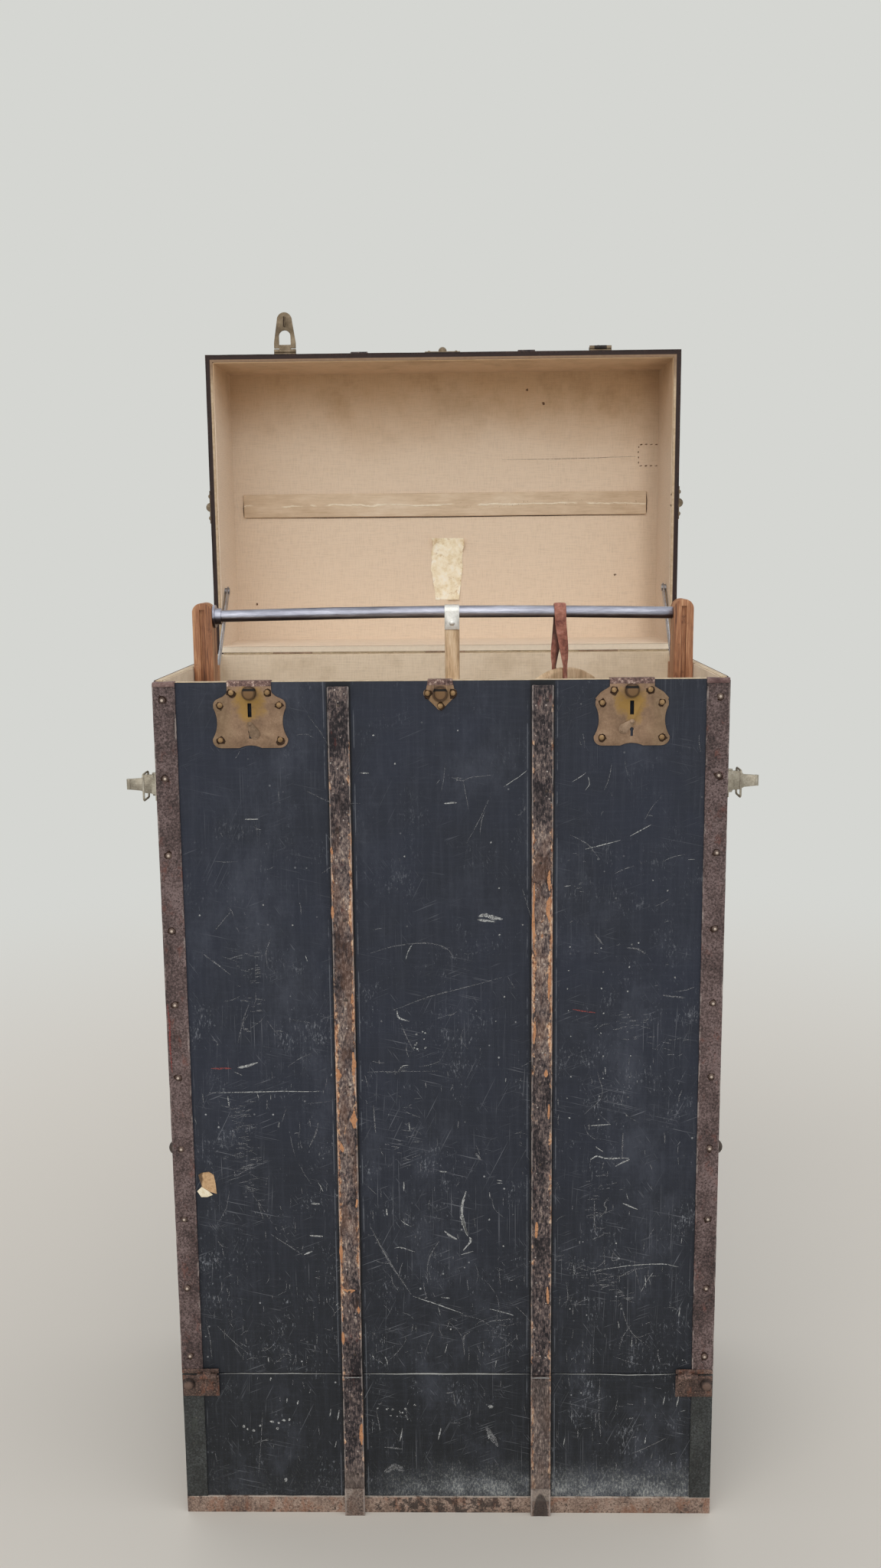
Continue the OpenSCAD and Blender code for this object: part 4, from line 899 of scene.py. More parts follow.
# %% The twisted strap
bm = bmesh.new()
for side in (1, -1):
    line = curve(strap_half(side), 5)
    rings = []
    for i, middle in enumerate(line):
        ahead = heading(line, i)
        twist = TURN * min(max((-middle.z - TWIST_START) / TWIST_LENGTH, 0), 1) ** 1.6
        wide = Vector((cos(twist), sin(twist), 0))
        wide = (wide - ahead * wide.dot(ahead)).normalized()
        thick = ahead.cross(wide)
        narrow = STRAP_W * (1 - NARROWED * min(max(-middle.z / NARROW_LENGTH, 0), 1))
        section = flat_oval(narrow / 2, STRAP_T / 2, 0.45, 0.8, 16)
        place = Vector((STRAP_X, 0, RAIL_Z)) + middle
        rings.append([place + wide * u + thick * v for u, v in section])
    skin(bm, rings)
unsettle(bm, 0.0003, 0.025)
worn_strap = make_piece("strap_worn", bm, body_of_node["strap"], strap_leather, 50)
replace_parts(worn_strap, "strap")
print("strap made")

# %% [markdown]
# The carrying handles are two layers of thick leather, fuller in the middle than at the ends. They
# lie along an arc, with a row of waxed stitches along each edge.

# %% The side handles
HANDLE_Z, HANDLE_Y, HANDLE_RISE, FACE_X = 0.64, 0.0735, 0.015, 0.3490
HANDLE_SINK, HANDLE_STEPS, BARE_STEPS = 0.0027, 40, 3
leather, stitches = bmesh.new(), bmesh.new()
arc_r = (HANDLE_Y**2 + HANDLE_RISE**2) / (2 * HANDLE_RISE)
arc_a = math.asin(HANDLE_Y / arc_r)
stitch_shape = Matrix.Diagonal((0.0013, 0.0006, 0.0006, 1))
for side in (-1, 1):
    rings = []
    for i in range(HANDLE_STEPS + 1):
        a = arc_a * (i / (HANDLE_STEPS / 2) - 1)
        swell = max(0, cos(a / arc_a * pi / 2)) ** 0.7
        half, thick = 0.0118 - 0.0012 * swell, 0.0019 + 0.0013 * swell
        away = arc_r * cos(a) - (arc_r - HANDLE_RISE) - HANDLE_SINK
        middle = Vector((side * (FACE_X + away), arc_r * sin(a), HANDLE_Z))
        out = Vector((side * cos(a), sin(a), 0))
        section = flat_oval(half, thick, 0.5, 0.9, 20)
        rings.append([middle + Vector((0, 0, u)) + out * v for u, v in section])
        if not BARE_STEPS < i < HANDLE_STEPS - BARE_STEPS:
            continue
        for edge in (-1, 1):
            place = middle + Vector((0, 0, edge * half * 0.72)) + out * thick * 0.93
            turn = Matrix.Rotation(math.atan2(out.y, out.x) + pi / 2, 4, "Z")
            matrix = Matrix.Translation(place) @ turn @ stitch_shape
            bmesh.ops.create_icosphere(stitches, subdivisions=1, radius=1, matrix=matrix)
    skin(leather, rings)
unsettle(leather, 0.0006, 0.03)
worn_handles = make_piece("handle_straps_worn", leather, "carcass", handle_leather, 50)
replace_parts(worn_handles, "handle_straps")
make_piece("handle_stitches", stitches, "carcass", stitch_thread, 60)
print("handles sewn")

# %% [markdown]
# ## Paper
# The label inside the lid is torn along one side and its corners curl off the linen. It stays bare.
# A white scrap of another label clings to the door, low on the left.

# %% The torn label
LABEL_LEFT, LABEL_RIGHT, LABEL_LOW, LABEL_HIGH = -0.024, 0.030, 1.1945, 1.2925
PASTED_Y, PAPER_T, COCKLE = 0.3655, 0.0002, 0.0011


def between(values, t):
    """The value at t from 0 to 1 along evenly spaced values."""
    place = min(max(t, 0.0), 0.9999) * (len(values) - 1)
    i = int(place)
    return values[i] + (values[i + 1] - values[i]) * (place - i)


torn_left = (0.13, 0.12, 0.08, 0.05, 0.0, 0.03, 0.02, 0.07, 0.04)
torn_right = (0.84, 0.86, 0.90, 0.91, 0.97, 0.93, 0.95, 1.0, 0.98)
columns, rows = 18, 30
bm = bmesh.new()
grid = []
for j in range(rows + 1):
    v = j / rows
    low, high = between(torn_left, v), between(torn_right, v)
    line = []
    for i in range(columns + 1):
        u = low + (high - low) * i / columns
        ragged = noise.noise(Vector((j * 0.9, i * 3.1, 2))) * (i in (0, columns)) * 0.02
        ragged_z = noise.noise(Vector((i * 0.9, j * 2.7, 8))) * (j in (0, rows)) * 0.012
        corner = max(0, v + u - 1.72) * 0.03 + max(0, v - u - 0.72) * 0.035
        corner += max(0, 0.22 - v + (1 - u) * 0.2) ** 2 * 0.03 * (u > 0.5)
        cockle = abs(noise.noise(Vector((u * 4, v * 7, 3)))) * COCKLE
        x = LABEL_LEFT + (LABEL_RIGHT - LABEL_LEFT) * (u + ragged)
        z = LABEL_LOW + (LABEL_HIGH - LABEL_LOW) * (v + ragged_z)
        line.append(bm.verts.new((x, PASTED_Y - PAPER_T - cockle - corner, z)))
    grid.append(line)
for j in range(rows):
    for i in range(columns):
        bm.faces.new((grid[j][i], grid[j][i + 1], grid[j + 1][i + 1], grid[j + 1][i]))
bmesh.ops.recalc_face_normals(bm, faces=bm.faces)
bmesh.ops.solidify(bm, geom=bm.faces[:], thickness=PAPER_T)
worn_label = make_piece("lid_label_worn", bm, body_of_node["lid_label"], paper, 60)
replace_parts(worn_label, "lid_label")
print("label torn")

# %% The scrap on the door
SCRAP_T = 0.0005
scrap_sheet = [(-318, 482), (-313, 485), (-304, 486), (-298, 482), (-296, 470), (-295, 456)]
scrap_sheet += [(-304, 459), (-314, 466)]
scrap_fold = [(-320, 460), (-314, 466), (-304, 459), (-300, 455), (-307, 452), (-315, 452)]
scrap = bmesh.new()
for outline, lift in ((scrap_sheet, 0.0), (scrap_fold, SCRAP_FOLD)):
    rings = []
    for y in (SCRAP_Y - lift, SCRAP_Y - lift + SCRAP_T):
        rings.append([(x / 1000, y, z / 1000) for x, z in outline])
    skin(scrap, rings)
bmesh.ops.triangulate(scrap, faces=scrap.faces[:])
make_piece("door_paper_scrap", scrap, "door", scrap_paper, 10)
print("scrap pasted")

# %% [markdown]
# ## Scrapes and spots
# A hundred years of handling left their own drawing on the front. The strokes that catch the eye
# are laid where the photograph shows them, as thin ribbons over the canvas with tapered ends. The
# many faint ones between them come from one seeded source of chance. A scuff is a bundle of fine
# scrapes along a line, and chips are orange strokes on the slats. Lengths here are millimetres.

# %% Tools that draw on the canvas
CANVAS_Y, STRIP_FRONT, SLAT_FRONT = -0.2177, -0.2206, -0.2247
chance = random.Random(11)


def stroke(bm, width, points, plane=CANVAS_Y):
    """A ribbon through (x, z) points in millimetres, thin and wandering like a scrape."""
    line = curve([Vector((x / 1000, plane, z / 1000)) for x, z in points], 5)
    sides = []
    for i, q in enumerate(line):
        ahead = heading(line, i)
        normal = Vector((-ahead.z, 0, ahead.x))
        taper = max(0.12, sin(pi * (i + 0.3) / (len(line) - 0.4))) ** 0.6
        half = width / 2000 * taper * (1 + 0.6 * noise.noise(q * 260))
        q = q + normal * noise.noise(q * 90) * 0.0006
        sides.append([bm.verts.new(q + normal * half), bm.verts.new(q - normal * half)])
    for one, two in zip(sides, sides[1:]):
        bm.faces.new((one[0], one[1], two[1], two[0]))


def spot(bm, x, z, radius, plane=CANVAS_Y):
    """A small ragged blot."""
    ring = []
    for k in range(9):
        a = 2 * pi * k / 9
        r = radius / 1000 * (1 + 0.7 * noise.noise(Vector((x * 0.7 + cos(a), z * 0.7 + sin(a), 1))))
        ring.append(bm.verts.new((x / 1000 + r * cos(a), plane, z / 1000 + r * sin(a))))
    bm.faces.new(ring)


def scuff(bm, width, count, points):
    """Many fine scrapes side by side along a line, as when a crate is dragged past."""
    line = curve([Vector((x, 0, z)) for x, z in points], 6)
    for _ in range(count):
        middle = chance.choice(line) + Vector((chance.gauss(0, 0.35), 0, chance.gauss(0, 0.2))) * width
        slant, reach = chance.gauss(0.05, 0.18), chance.uniform(0.15, 0.6) * min(width, 24)
        across, up = reach * cos(slant) / 2, reach * sin(slant) / 2
        ends = [(middle.x - across, middle.z - up), (middle.x + across, middle.z + up)]
        stroke(bm, chance.uniform(0.5, 1.1), ends)


def strokes(bm, table, plane=CANVAS_Y):
    """One stroke for each row: its width, then its points."""
    for width, *points in table:
        stroke(bm, width, points, plane)


print("drawing tools ready")

# %% The scrapes that catch the eye
white_strokes = [
    (1.6, (-243, 949), (-226, 949)),
    (3.4, (-262, 627), (-251, 629), (-236, 634)),
    (1.2, (-300, 593), (-221, 595), (-159, 595)),
    (1.9, (-276, 589), (-275, 575)),
    (2.2, (-173, 442), (-162, 442)),
    (2.6, (-176, 398), (-159, 397)),
    (1.3, (-163, 471), (-157, 459)),
    (1.8, (-184, 371), (-173, 376)),
    (1.5, (-100, 1006), (-88, 1005)),
    (0.9, (77, 987), (105, 1007)),
    (2.2, (3, 967), (19, 968)),
    (5.0, (45, 824), (53, 826), (61, 823), (75, 820)),
    (3.0, (44, 820), (66, 817)),
    (1.2, (-47, 768), (-43, 780), (-37, 790)),
    (2.2, (-58, 702), (-56, 693), (-43, 688)),
    (1.3, (-45, 553), (-44, 542)),
    (4.2, (27, 459), (22, 440), (22, 420), (26, 406), (29, 397)),
    (3.2, (23, 424), (25, 410), (29, 399)),
    (2.8, (-1, 404), (6, 398), (16, 392)),
    (2.6, (31, 396), (33, 390), (23, 377)),
    (1.3, (20, 371), (36, 376)),
    (1.2, (-43, 313), (-14, 302), (23, 288)),
    (1.0, (-66, 380), (-57, 381), (-39, 375)),
    (1.1, (57, 295), (72, 291), (90, 285)),
    (1.5, (-53, 472), (-53, 460)),
    (1.8, (-76, 435), (-75, 426)),
    (1.6, (-7, 486), (3, 486)),
    (1.0, (67, 474), (74, 473)),
    (1.0, (67, 470), (74, 470)),
    (2.0, (-6, 311), (5, 310)),
    (0.9, (161, 993), (177, 1004)),
    (1.3, (177, 909), (199, 914), (220, 920)),
    (1.1, (232, 925), (257, 939)),
    (1.3, (183, 548), (212, 550)),
    (2.4, (187, 502), (195, 507), (207, 504), (236, 504)),
    (1.7, (219, 493), (237, 503)),
    (1.2, (193, 520), (203, 513)),
    (1.9, (229, 442), (248, 434)),
    (1.2, (196, 349), (239, 356), (280, 358), (302, 354)),
]
print(len(white_strokes), "white scrapes")

# %% The fainter ones between them
faint_strokes = [
    (1.6, (-300, 777), (-284, 764), (-267, 750)),
    (1.3, (-270, 770), (-247, 777)),
    (1.0, (-286, 806), (-264, 832)),
    (1.2, (-245, 712), (-253, 690), (-261, 659)),
    (2.0, (-174, 520), (-166, 535), (-161, 554)),
    (1.4, (-242, 443), (-235, 419)),
    (1.2, (-227, 400), (-206, 385), (-185, 370)),
    (1.2, (12, 1000), (26, 995), (37, 999), (62, 1002)),
    (1.2, (-90, 777), (-56, 787), (-17, 790), (6, 782), (13, 770)),
    (1.2, (-65, 702), (-18, 720), (20, 730), (74, 745)),
    (1.4, (-54, 686), (-47, 668), (-37, 649)),
    (1.0, (-97, 621), (-7, 622)),
    (1.8, (-90, 576), (-88, 539)),
    (2.6, (-97, 410), (-80, 375), (-69, 354), (-45, 315)),
    (1.4, (-8, 391), (-22, 364), (-24, 331)),
    (1.5, (56, 277), (89, 281)),
    (2.0, (31, 262), (23, 253), (24, 229)),
    (2.8, (40, 511), (47, 502)),
    (2.0, (230, 783), (243, 781), (255, 774)),
    (2.0, (189, 802), (200, 787)),
    (2.4, (275, 721), (304, 717)),
    (1.8, (228, 538), (227, 504)),
    (1.8, (192, 448), (193, 414), (194, 396)),
    (1.5, (210, 450), (205, 441), (208, 433), (198, 421)),
    (1.2, (217, 374), (225, 366), (216, 363), (217, 374)),
]
red_strokes = [(2.2, (-296, 626), (-270, 626)), (1.6, (163, 703), (192, 698))]
red_on_strip = (-347.5, 713), (-346, 683), (-346.5, 650), (-345, 622)
print(len(faint_strokes), "faint scrapes")

# %% Scuffs, chips and spots
scuffs = [
    (26, 90, (-262, 570), (-256, 524), (-252, 455)),
    (20, 26, (-250, 775), (-244, 733), (-242, 672)),
    (9, 16, (-97, 407), (-75, 364), (-47, 320), (-3, 298)),
    (8, 12, (-213, 399), (-173, 346), (-138, 298)),
    (24, 60, (150, 364), (193, 342), (238, 310)),
    (10, 12, (165, 905), (172, 880), (170, 850)),
    (30, 22, (200, 470), (196, 430), (192, 390)),
    (40, 24, (-60, 640), (-50, 560), (-62, 500)),
    (40, 30, (230, 690), (262, 668), (290, 655)),
]
chips = [
    (3.0, (-136, 914), (-135, 905)),
    (3.4, (-136, 840), (-136, 824)),
    (3.4, (-113, 727), (-115, 714)),
    (4.6, (-114, 650), (-113, 634), (-115, 619)),
    (6.0, (-135, 628), (-133, 620), (-134, 612)),
    (7.4, (-114, 572), (-115, 560), (-114, 548)),
    (4.0, (-132, 528), (-130, 516)),
    (3.4, (-113, 452), (-114, 440)),
    (4.4, (-135, 388), (-135, 364)),
    (5.0, (-133, 326), (-126, 324), (-118, 325)),
    (3.6, (-114, 302), (-114, 292)),
    (4.6, (-113, 134), (-114, 120), (-113, 103)),
    (3.6, (-135, 266), (-135, 248)),
    (4.6, (133, 884), (132, 872), (133, 858)),
    (5.0, (133, 850), (131, 836), (133, 818)),
    (4.0, (133, 754), (133, 736), (132, 718)),
    (5.0, (130, 626), (129, 616)),
    (3.0, (114, 868), (113, 822), (114, 780)),
    (3.4, (115, 690), (114, 660)),
    (3.4, (133, 580), (133, 560)),
    (4.0, (118, 420), (117, 398)),
    (3.4, (132, 330), (133, 306)),
]
spots = [(-82, 1052), (-56, 1017), (61, 918), (-46, 901), (71, 860), (77, 720), (66, 688), (-78, 688)]
spots += [(100, 813), (71, 800), (21, 1057), (-57, 380), (-35, 310), (6, 266), (75, 383), (88, 427)]
spots += [(57, 420), (279, 856), (290, 744), (244, 789), (261, 869), (178, 389), (221, 387), (162, 295)]
spots += [(229, 295), (184, 286), (194, 519), (-223, 840), (-187, 814), (-287, 658), (-303, 827)]
print(len(scuffs), "scuffs,", len(chips), "chips,", len(spots), "spots")

# %% Draw the listed marks
nail_columns, nail_rows, nail_pitch, nail_top = (159, 199, 234), 9, 28, 783
white, faint, red, brown, bare = [bmesh.new() for _ in range(5)]
strokes(white, white_strokes)
strokes(faint, faint_strokes)
strokes(red, red_strokes)
stroke(red, 2.2, red_on_strip, STRIP_FRONT)
strokes(bare, chips, SLAT_FRONT)
for x, z in spots:
    spot(white, x, z, chance.uniform(0.8, 1.3))
for i in range(nail_rows):
    for x in nail_columns:
        z = nail_top - nail_pitch * i + chance.uniform(-4, 4)
        spot(white, x + chance.uniform(-3, 3), z, chance.uniform(0.7, 1.1))
for _ in range(12):
    spot(white, chance.uniform(-38, -22), chance.uniform(646, 676), chance.uniform(0.8, 1.3))
for _ in range(14):
    z = chance.uniform(700, 780)
    stroke(faint, 0.9, [(-236, z), (-229, z + 1)])
print("front scraped", len(white_strokes) + len(faint_strokes), "strokes by hand")

# %% Fill in with chance
BAYS, BAY_END, DOOR_FOOT, DOOR_HEAD = [(-318, -142), (-106, 106), (142, 318)], 318, 210, 1095
for _ in range(280):
    x, z = chance.uniform(*chance.choice(BAYS)), 215 + 880 * chance.random() ** 2
    slant = chance.choice((0.1, 0.5, -0.5, 1.3, -1.2, 1.55)) + chance.gauss(0, 0.25)
    reach = min(chance.expovariate(1 / 16) + 4, 70)
    across, up = reach * cos(slant), reach * sin(slant)
    if abs(x + across) > BAY_END or not DOOR_FOOT < z + up < DOOR_HEAD:
        continue
    sag = chance.gauss(0, 0.08) * reach
    middle = (x + across / 2 - sag * sin(slant), z + up / 2 + sag * cos(slant))
    sheet = white if chance.random() < 0.04 else faint
    stroke(sheet, chance.uniform(0.5, 1.1), [(x, z), middle, (x + across, z + up)])
for _ in range(190):
    x, z = chance.uniform(*chance.choice(BAYS)), 212 + 430 * chance.random() ** 1.3
    lean, reach = chance.gauss(0, 0.12), chance.uniform(3, 15)
    sheet = white if chance.random() < 0.14 else faint
    stroke(sheet, chance.uniform(0.6, 1.3), [(x, z), (x + lean * reach, z + reach)])
for width, count, *points in scuffs:
    scuff(faint, width, count, points)
make_piece("door_slat_chips", bare, "door", bare_mark, outward=False)
make_piece("door_white_scrapes", white, "door", white_mark, outward=False)
make_piece("door_faint_scrapes", faint, "door", faint_mark, outward=False)
make_piece("door_red_marks", red, "door", red_mark, outward=False)
print("front filled in")

# %% [markdown]
# The fixed panel under the door has its own marks: white dabs where paint splashed, upright scrapes,
# and a pale line along the seam.

# %% Dabs and lines on the lower panel
LOW_SLAT_FRONT, LOW_FOOT, LOW_HEAD = -0.2256, 28, 198
lower_dabs = [
    (-271, 125, 3.4, 4),
    (-266, 121, 3.0, 3),
    (-258, 119, 4.4, 3),
    (-249, 126, 3.6, 3),
    (-233, 132, 5.0, 3),
    (-226, 122, 3.8, 4),
    (-224, 130, 2.6, 3),
    (-217, 134, 5.0, 3),
    (-210, 135, 3.0, 4),
    (-212, 163, 1.6, 6),
    (-198, 160, 1.8, 6),
    (-155, 145, 1.3, 11),
    (-144, 142, 1.5, 15),
    (-149, 99, 1.2, 9),
    (-61, 113, 1.6, 19),
    (-10, 115, 1.8, 17),
    (-217, 46, 4.4, 6),
    (-233, 194, 2.0, 5),
    (58, 154, 6.0, 5),
    (56, 112, 3.0, 9),
    (305, 164, 1.4, 19),
    (287, 164, 1.3, 12),
    (156, 104, 1.3, 11),
    (263, 106, 1.4, 9),
]
lower_lines = [
    (1.4, (-94, 149), (-91, 132), (-89, 117)),
    (1.0, (-245, 150), (-249, 100), (-254, 50)),
    (1.3, (202, 196), (201, 150), (204, 110)),
    (1.4, (245, 86), (268, 97), (290, 109)),
    (2.6, (-84, 95), (-72, 94), (-60, 92)),
    (1.4, (5, 131), (17, 131)),
    (1.2, (238, 159), (247, 158)),
    (7.0, (52, 125), (60, 110), (68, 96)),
    (9.0, (-84, 58), (-70, 66), (-58, 60)),
]
print(len(lower_dabs), "dabs,", len(lower_lines), "lines")

# %% Draw on the lower panel
low_white, low_faint, seam = [bmesh.new() for _ in range(3)]
for _ in range(70):
    x, z = chance.uniform(*chance.choice(BAYS)), chance.uniform(30, 195)
    slant = chance.choice((0.2, 1.57, 1.57, 1.5)) + chance.gauss(0, 0.14)
    reach = min(chance.expovariate(1 / 9) + 3, 40)
    end = (x + reach * cos(slant), z + reach * sin(slant))
    if abs(end[0]) > BAY_END or not LOW_FOOT < end[1] < LOW_HEAD:
        continue
    stroke(low_faint, chance.uniform(0.6, 1.5), [(x, z), end])
for x, z, width, height in lower_dabs:
    dab = [(x - height / 9, z - height / 2), (x, z), (x + height / 12, z + height / 2)]
    stroke(low_white, width, dab)
strokes(low_faint, lower_lines)
for _ in range(14):
    spot(low_white, chance.gauss(-64, 9), chance.gauss(151, 6), chance.uniform(0.7, 1.7))
stroke(seam, 0.9, [(-300, 201.8), (-220, 202), (-139, 201.8)])
stroke(seam, 1.6, [(-109, 201.8), (0, 201.8), (109, 201.8)])
stroke(seam, 1.0, [(139, 202), (200, 201.4), (262, 200.8), (301, 202.4)])
for side in (-1, 1):
    low, high = side * 124 - 13, side * 124 + 13
    stroke(seam, 1.1, [(low, 201), (side * 124, 201.4), (high, 201)], LOW_SLAT_FRONT)
make_piece("seam_edge", seam, "carcass", seam_mark, outward=False)
make_piece("lower_white_scrapes", low_white, "carcass", white_mark, outward=False)
make_piece("lower_faint_scrapes", low_faint, "carcass", faint_mark, outward=False)
print("lower panel marked")

# %% [markdown]
# Inside the lid a few stitches and drops of brown are left on the linen, and a line of painted
# shadow lies under the inner slat, with painted shade at its curled ends. The slot in the left hasp
# is a dark stroke of painted shade on its staple.

# %% Draw inside the lid and on the hasp
LID_INSIDE, LID_MOUTH, STAPLE_FRONT = 0.3655, 0.2202, 0.2167
lid_drops = [(131, 1521, 2.2), (156, 1500, 2.6), (272, 1232, 1.8), (-306, 1190, 2.0)]
rim_stains = [(-341, 1551, 3.6), (341, 1352, 2.6), (343, 1343, 3.2), (340, 1336, 2.2)]
rim_stains += [(-342, 1334, 2.6)]
for x in range(309, 341, 8):
    for z in (1402, 1435):
        stroke(brown, 1.9, [(x, z), (x + 4.2, z + 0.7)], LID_INSIDE)
for z in range(1406, 1432, 8):
    for x in (307, 343):
        stroke(brown, 1.7, [(x, z), (x + 0.3, z + 3)], LID_INSIDE)
stroke(brown, 0.7, [(91, 1414), (200, 1415), (303, 1417)], LID_INSIDE)
for x, z, radius in lid_drops:
    spot(brown, x, z, radius, LID_INSIDE)
make_piece("lid_stitch_marks", brown, "lid", brown_mark, outward=False)
dark, slit = bmesh.new(), bmesh.new()
# Painted shadow: a dark line under the inner slat and dark strokes at its curled ends; the spots at the
# rim's corners are stains.
stroke(dark, 1.7, [(-319, 1326.4), (-100, 1325.9), (120, 1326.2), (318, 1326.4)], LID_INSIDE)
stroke(dark, 1.4, [(-322.6, 1328), (-323, 1345), (-321.5, 1358)], LID_INSIDE)
stroke(dark, 1.3, [(320.8, 1330), (321.2, 1344), (320.2, 1362)], LID_INSIDE)
for x, z, radius in rim_stains:
    spot(dark, x, z, radius, LID_MOUTH)
make_piece("lid_dark_marks", dark, "lid", dark_mark, outward=False)
hasp_x = -LOCK_X * 1000
stroke(slit, 1.8, [(hasp_x, 1613), (hasp_x, 1606), (hasp_x, 1598)], STAPLE_FRONT)
make_piece("hasp_slit", slit, body_of_node["hasp_left"], painted_shade_mark, outward=False)
print("lid and hasp marked")

# %% [markdown]
# ## Small iron
# Nails hold the slats, and the door's side strips end in a folded cap that goes over the rim. The
# lock plates and the catch are held by brass rivets with painted shade round them, as are the side
# strips, and the plates' upper corners are stamped to a curve, which is added as a thin shoulder in
# front of the plain plate.


# %% Nails
def dome(bm, place, radius, outward):
    """A low nail head that faces along outward."""
    turn = Vector(outward).to_track_quat("Z", "Y").to_matrix().to_4x4()
    shape = Matrix.Diagonal((radius, radius, radius * 0.45, 1))
    matrix = Matrix.Translation(place) @ turn @ shape
    bmesh.ops.create_uvsphere(bm, u_segments=14, v_segments=8, radius=1, matrix=matrix)


FRONT, NAIL_R, RIVET_R = (0, -1, 0), 0.0017, 0.0034
DOOR_LOW, DOOR_HIGH, NAIL_Y = 0.2035, 1.1185, SLAT_FRONT + 0.0001
CAP_X, CAP_Y, CAP_Z, CAP_SIZE = 0.3355, -0.2163, 1.1160, (0.0275, 0.0095, 0.0062)
door_nails, low_nails, caps = bmesh.new(), bmesh.new(), bmesh.new()
for side in (-1, 1):
    z = DOOR_LOW + 0.03
    while z < DOOR_HIGH - 0.02:
        x = side * SLAT_X + chance.uniform(-0.006, 0.006)
        dome(door_nails, (x, NAIL_Y, z), NAIL_R, FRONT)
        z += chance.uniform(0.075, 0.115)
    for z in (0.06, 0.115, 0.17):
        x = side * SLAT_X + chance.uniform(-0.005, 0.005)
        dome(low_nails, (x, NAIL_Y, z), NAIL_R, FRONT)
    matrix = Matrix.Translation((side * CAP_X, CAP_Y, CAP_Z)) @ Matrix.Diagonal((*CAP_SIZE, 1))
    bmesh.ops.create_cube(caps, size=1, matrix=matrix)
soften(caps, 0.0008)
slices(caps, ACROSS, 0.004)
unsettle(caps, 0.0008, 0.008)
print("nails driven")

# %% Rivets, their painted shade and the plates' shoulders
PLATE_Y, PLATE_BACK = -0.2191, -0.2176
RIVET_TOP, RIVET_PITCH, STRIP_RIVETS, STRIP_RIVET_X = 1096.8, 96.4, 10, 338
plate_spots = [(22, 1105.5), (36, 1090.1), (36.5, 1047.5)]
catch_spots = [(-15.3, 1103), (15.3, 1103), (0, 1087.5)]
HOLLOW_SHOULDER = [(26, 10), (28, 14), (32.4, 18), (39, 20.8), (38, 27), (26, 27)]
FULL_SHOULDER = [(26, 8.5), (30, 11), (38, 16), (44.4, 23.4), (40, 28), (26, 28)]
plate_rivets, catch_rivets, grime_and_shade, shoulders = [bmesh.new() for _ in range(4)]
for lock in (-LOCK_X, LOCK_X):
    for side in (-1, 1):
        for x, z in plate_spots:
            place = (lock + side * x / 1000, PLATE_Y - 0.0002, z / 1000)
            dome(plate_rivets, place, RIVET_R, FRONT)
            # Painted shade: two dark blots round each rivet.
            spot(grime_and_shade, place[0] * 1000, z, 4.6, PLATE_Y)
            spot(grime_and_shade, place[0] * 1000 + 0.4, z - 1.2, 5.0, PLATE_Y - 0.0001)
for x, z in catch_spots:
    dome(catch_rivets, (x / 1000, PLATE_Y - 0.0002, z / 1000), RIVET_R, FRONT)
    spot(grime_and_shade, x + 0.3, z - 0.8, 5.0, PLATE_Y)
for i in range(STRIP_RIVETS):
    for side in (-1, 1):
        spot(grime_and_shade, side * STRIP_RIVET_X, RIVET_TOP - i * RIVET_PITCH, 4.9, STRIP_FRONT)
for lock, outline in ((-LOCK_X, HOLLOW_SHOULDER), (LOCK_X, FULL_SHOULDER)):
    for side in (-1, 1):
        rings = []
        for y in (PLATE_BACK, PLATE_Y + 0.00005):
            rings.append([(lock + side * x / 1000, y, DOOR_HIGH - drop / 1000) for x, drop in outline])
        skin(shoulders, rings)
make_piece("lock_shoulders", shoulders, "door", plate_brass)
make_piece("plate_rivets", plate_rivets, "door", brass_head, 60)
make_piece("catch_rivets", catch_rivets, "door", brass_head, 60)
make_piece("plate_rivet_shade", grime_and_shade, "door", painted_shade_mark, outward=False)
make_piece("door_nails", door_nails, "door", dark_iron, 60)
make_piece("lower_nails", low_nails, "carcass", dark_iron, 60)
make_piece("door_strip_caps", caps, "door", folded_cap)
print("rivets, shoulders and caps placed")

# %% [markdown]
# The lid's hinges leave a slit along the back. A strip of painted canvas is glued over it on the
# outside, from the box to the lid, and is bent round the pins.

# %% The canvas over the hinge
PIN_Y, PIN_Z, CLOTH_R, CLOTH_X, CLOTH_STEPS, CLOTH_T = 0.220, 1.12015, 0.0022, 0.338, 60, 0.0003
bend = [Vector((0, -cos(a), sin(a))) * CLOTH_R for a in (0.15, 0.4, 0.8, 1.2, 1.45)]
fold = [Vector((0, PIN_Y - CLOTH_R, z)) for z in (1.104, 1.110, 1.116, 1.1195)]
fold += [Vector((0, PIN_Y, PIN_Z)) + q for q in bend]
fold += [Vector((0, y, PIN_Z + CLOTH_R)) for y in (0.2206, 0.225, 0.231, 0.237)]
cloth = bmesh.new()
last = [cloth.verts.new(q - Vector((CLOTH_X, 0, 0))) for q in fold]
for i in range(1, CLOTH_STEPS + 1):
    x = CLOTH_X * (2 * i / CLOTH_STEPS - 1)
    fresh = [cloth.verts.new(q + Vector((x, 0, 0))) for q in fold]
    for j in range(len(fold) - 1):
        cloth.faces.new((last[j], fresh[j], fresh[j + 1], last[j + 1]))
    last = fresh
bmesh.ops.solidify(cloth, geom=cloth.faces[:], thickness=CLOTH_T)
hinge_cloth = make_piece("lid_hinge_canvas", cloth, None, canvas, 60)
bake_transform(hinge_cloth)
print("hinge covered")

# %% [markdown]
# ## Camera
# The photograph was taken from just above the rim, a little to the right and tilted down by ten
# degrees. The box's eight visible corners fix the place, the lens and the small roll of the hand.

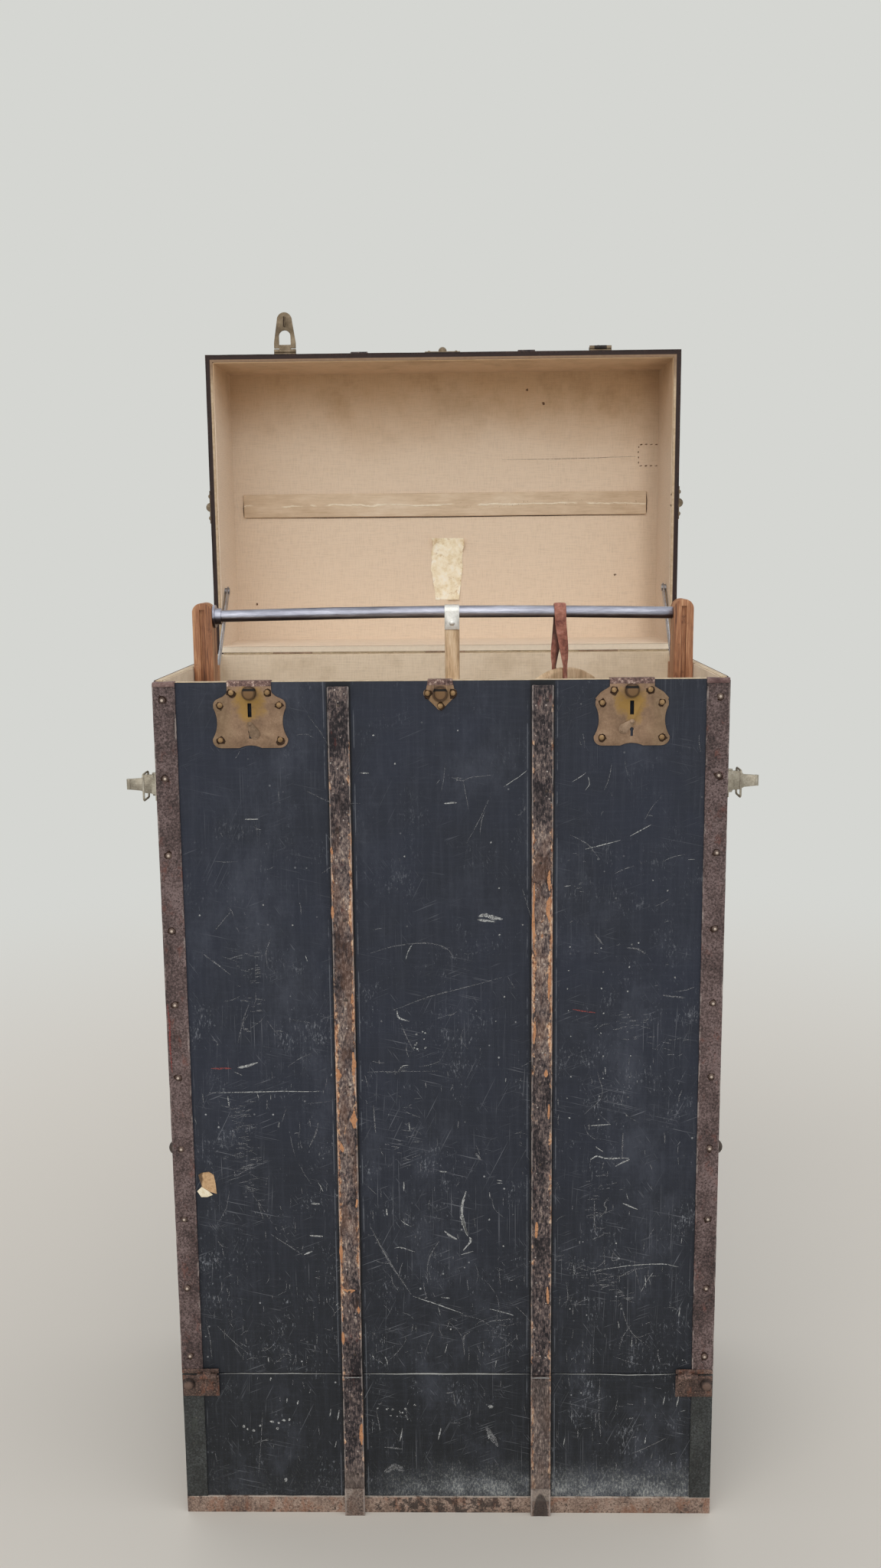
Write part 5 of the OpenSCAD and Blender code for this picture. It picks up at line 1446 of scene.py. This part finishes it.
# %% Place the camera
YAW, PITCH, ROLL, LENS = -0.01887, 0.1677, -0.00952, 31.72
EYE = (0.03083, -1.88486, 1.27359)
ahead = Vector((sin(YAW) * cos(PITCH), cos(YAW) * cos(PITCH), -sin(PITCH)))
right = Vector((cos(YAW), -sin(YAW), 0))
down = ahead.cross(right)
right, down = right * cos(ROLL) - down * sin(ROLL), right * sin(ROLL) + down * cos(ROLL)
turn = Matrix((right, -down, -ahead)).transposed().to_4x4()
camera = bpy.data.objects.new("camera", bpy.data.cameras.new("camera"))
camera.matrix_world = Matrix.Translation(EYE) @ turn
camera.data.sensor_fit = "AUTO"
camera.data.lens = LENS
bpy.context.scene.collection.objects.link(camera)
bpy.context.scene.camera = camera
print("camera at", [round(v, 3) for v in camera.location])

# %% [markdown]
# ## Studio
# The trunk was photographed outdoors under an even sky. Soft lamps and a pale world do the same.
# The floor is pale by its own colour and fades, a few steps behind the trunk, into a plain
# background of one tone, so that no horizon cuts the picture.

# %% The floor
BACKGROUND, FLOOR, SKY, SKY_STRENGTH, FLOOR_SIZE = "#d5d6d2", "#d2cdc4", "#eef0f4", 0.74, 14


def mix_floor():
    """Pale near the trunk. Far off it only glows in the background's own colour."""
    p = Paint("pale floor", Specular_IOR_Level=0.0, Roughness=1.0, Emission_Strength=1.0)
    far = p.step((p.x * p.x + p.y * p.y).root(), 1.0, 3.6)
    near = p.over(far, FLOOR, "#000000")
    glow = p.over(far, "#000000", BACKGROUND)
    return p.finish(near, Emission_Color=glow)


bm = bmesh.new()
bmesh.ops.create_grid(bm, x_segments=2, y_segments=2, size=FLOOR_SIZE)
mesh = bpy.data.meshes.new("floor")
bm.to_mesh(mesh)
bm.free()
mesh.materials.append(mix_floor())
floor = bpy.data.objects.new("floor", mesh)
bpy.context.scene.collection.objects.link(floor)
print("floor laid")

# %% The world
world = bpy.data.worlds.new("overcast")
world.use_nodes = True
bpy.context.scene.world = world
tree = world.node_tree
path = tree.nodes.new("ShaderNodeLightPath")
seen = tree.nodes.new("ShaderNodeBackground")
light = tree.nodes["Background"]
seen.inputs[0].default_value = rgb(BACKGROUND)
light.inputs[0].default_value = rgb(SKY)
light.inputs[1].default_value = SKY_STRENGTH
shown = light.outputs[0]
for ray in ("Is Camera Ray", "Is Glossy Ray", "Is Transmission Ray"):
    mixer = tree.nodes.new("ShaderNodeMixShader")
    tree.links.new(path.outputs[ray], mixer.inputs[0])
    tree.links.new(shown, mixer.inputs[1])
    tree.links.new(seen.outputs[0], mixer.inputs[2])
    shown = mixer.outputs[0]
tree.links.new(shown, tree.nodes["World Output"].inputs[0])
print("sky is", BACKGROUND)


# %% The lamps
def lamp(name, place, strength, spread, colour="#ffffff"):
    """A soft patch of sky that shines on the trunk from a place, spread over some degrees."""
    data = bpy.data.lights.new(name, "SUN")
    data.energy, data.angle = strength, radians(spread)
    data.color = rgb(colour)[:3]
    thing = bpy.data.objects.new(name, data)
    thing.location = place
    thing.rotation_euler = (-Vector(place)).to_track_quat("-Z", "Y").to_euler()
    bpy.context.scene.collection.objects.link(thing)


lamp("sky front", (-0.7, -2.6, 1.9), 1.1, 70, "#fffaf3")
lamp("sky right", (2.6, -0.8, 2.6), 0.35, 70)
lamp("sky back", (-1.4, 2.6, 2.6), 0.3, 70)
bpy.context.scene.view_settings.view_transform = "Standard"
print("studio lit")
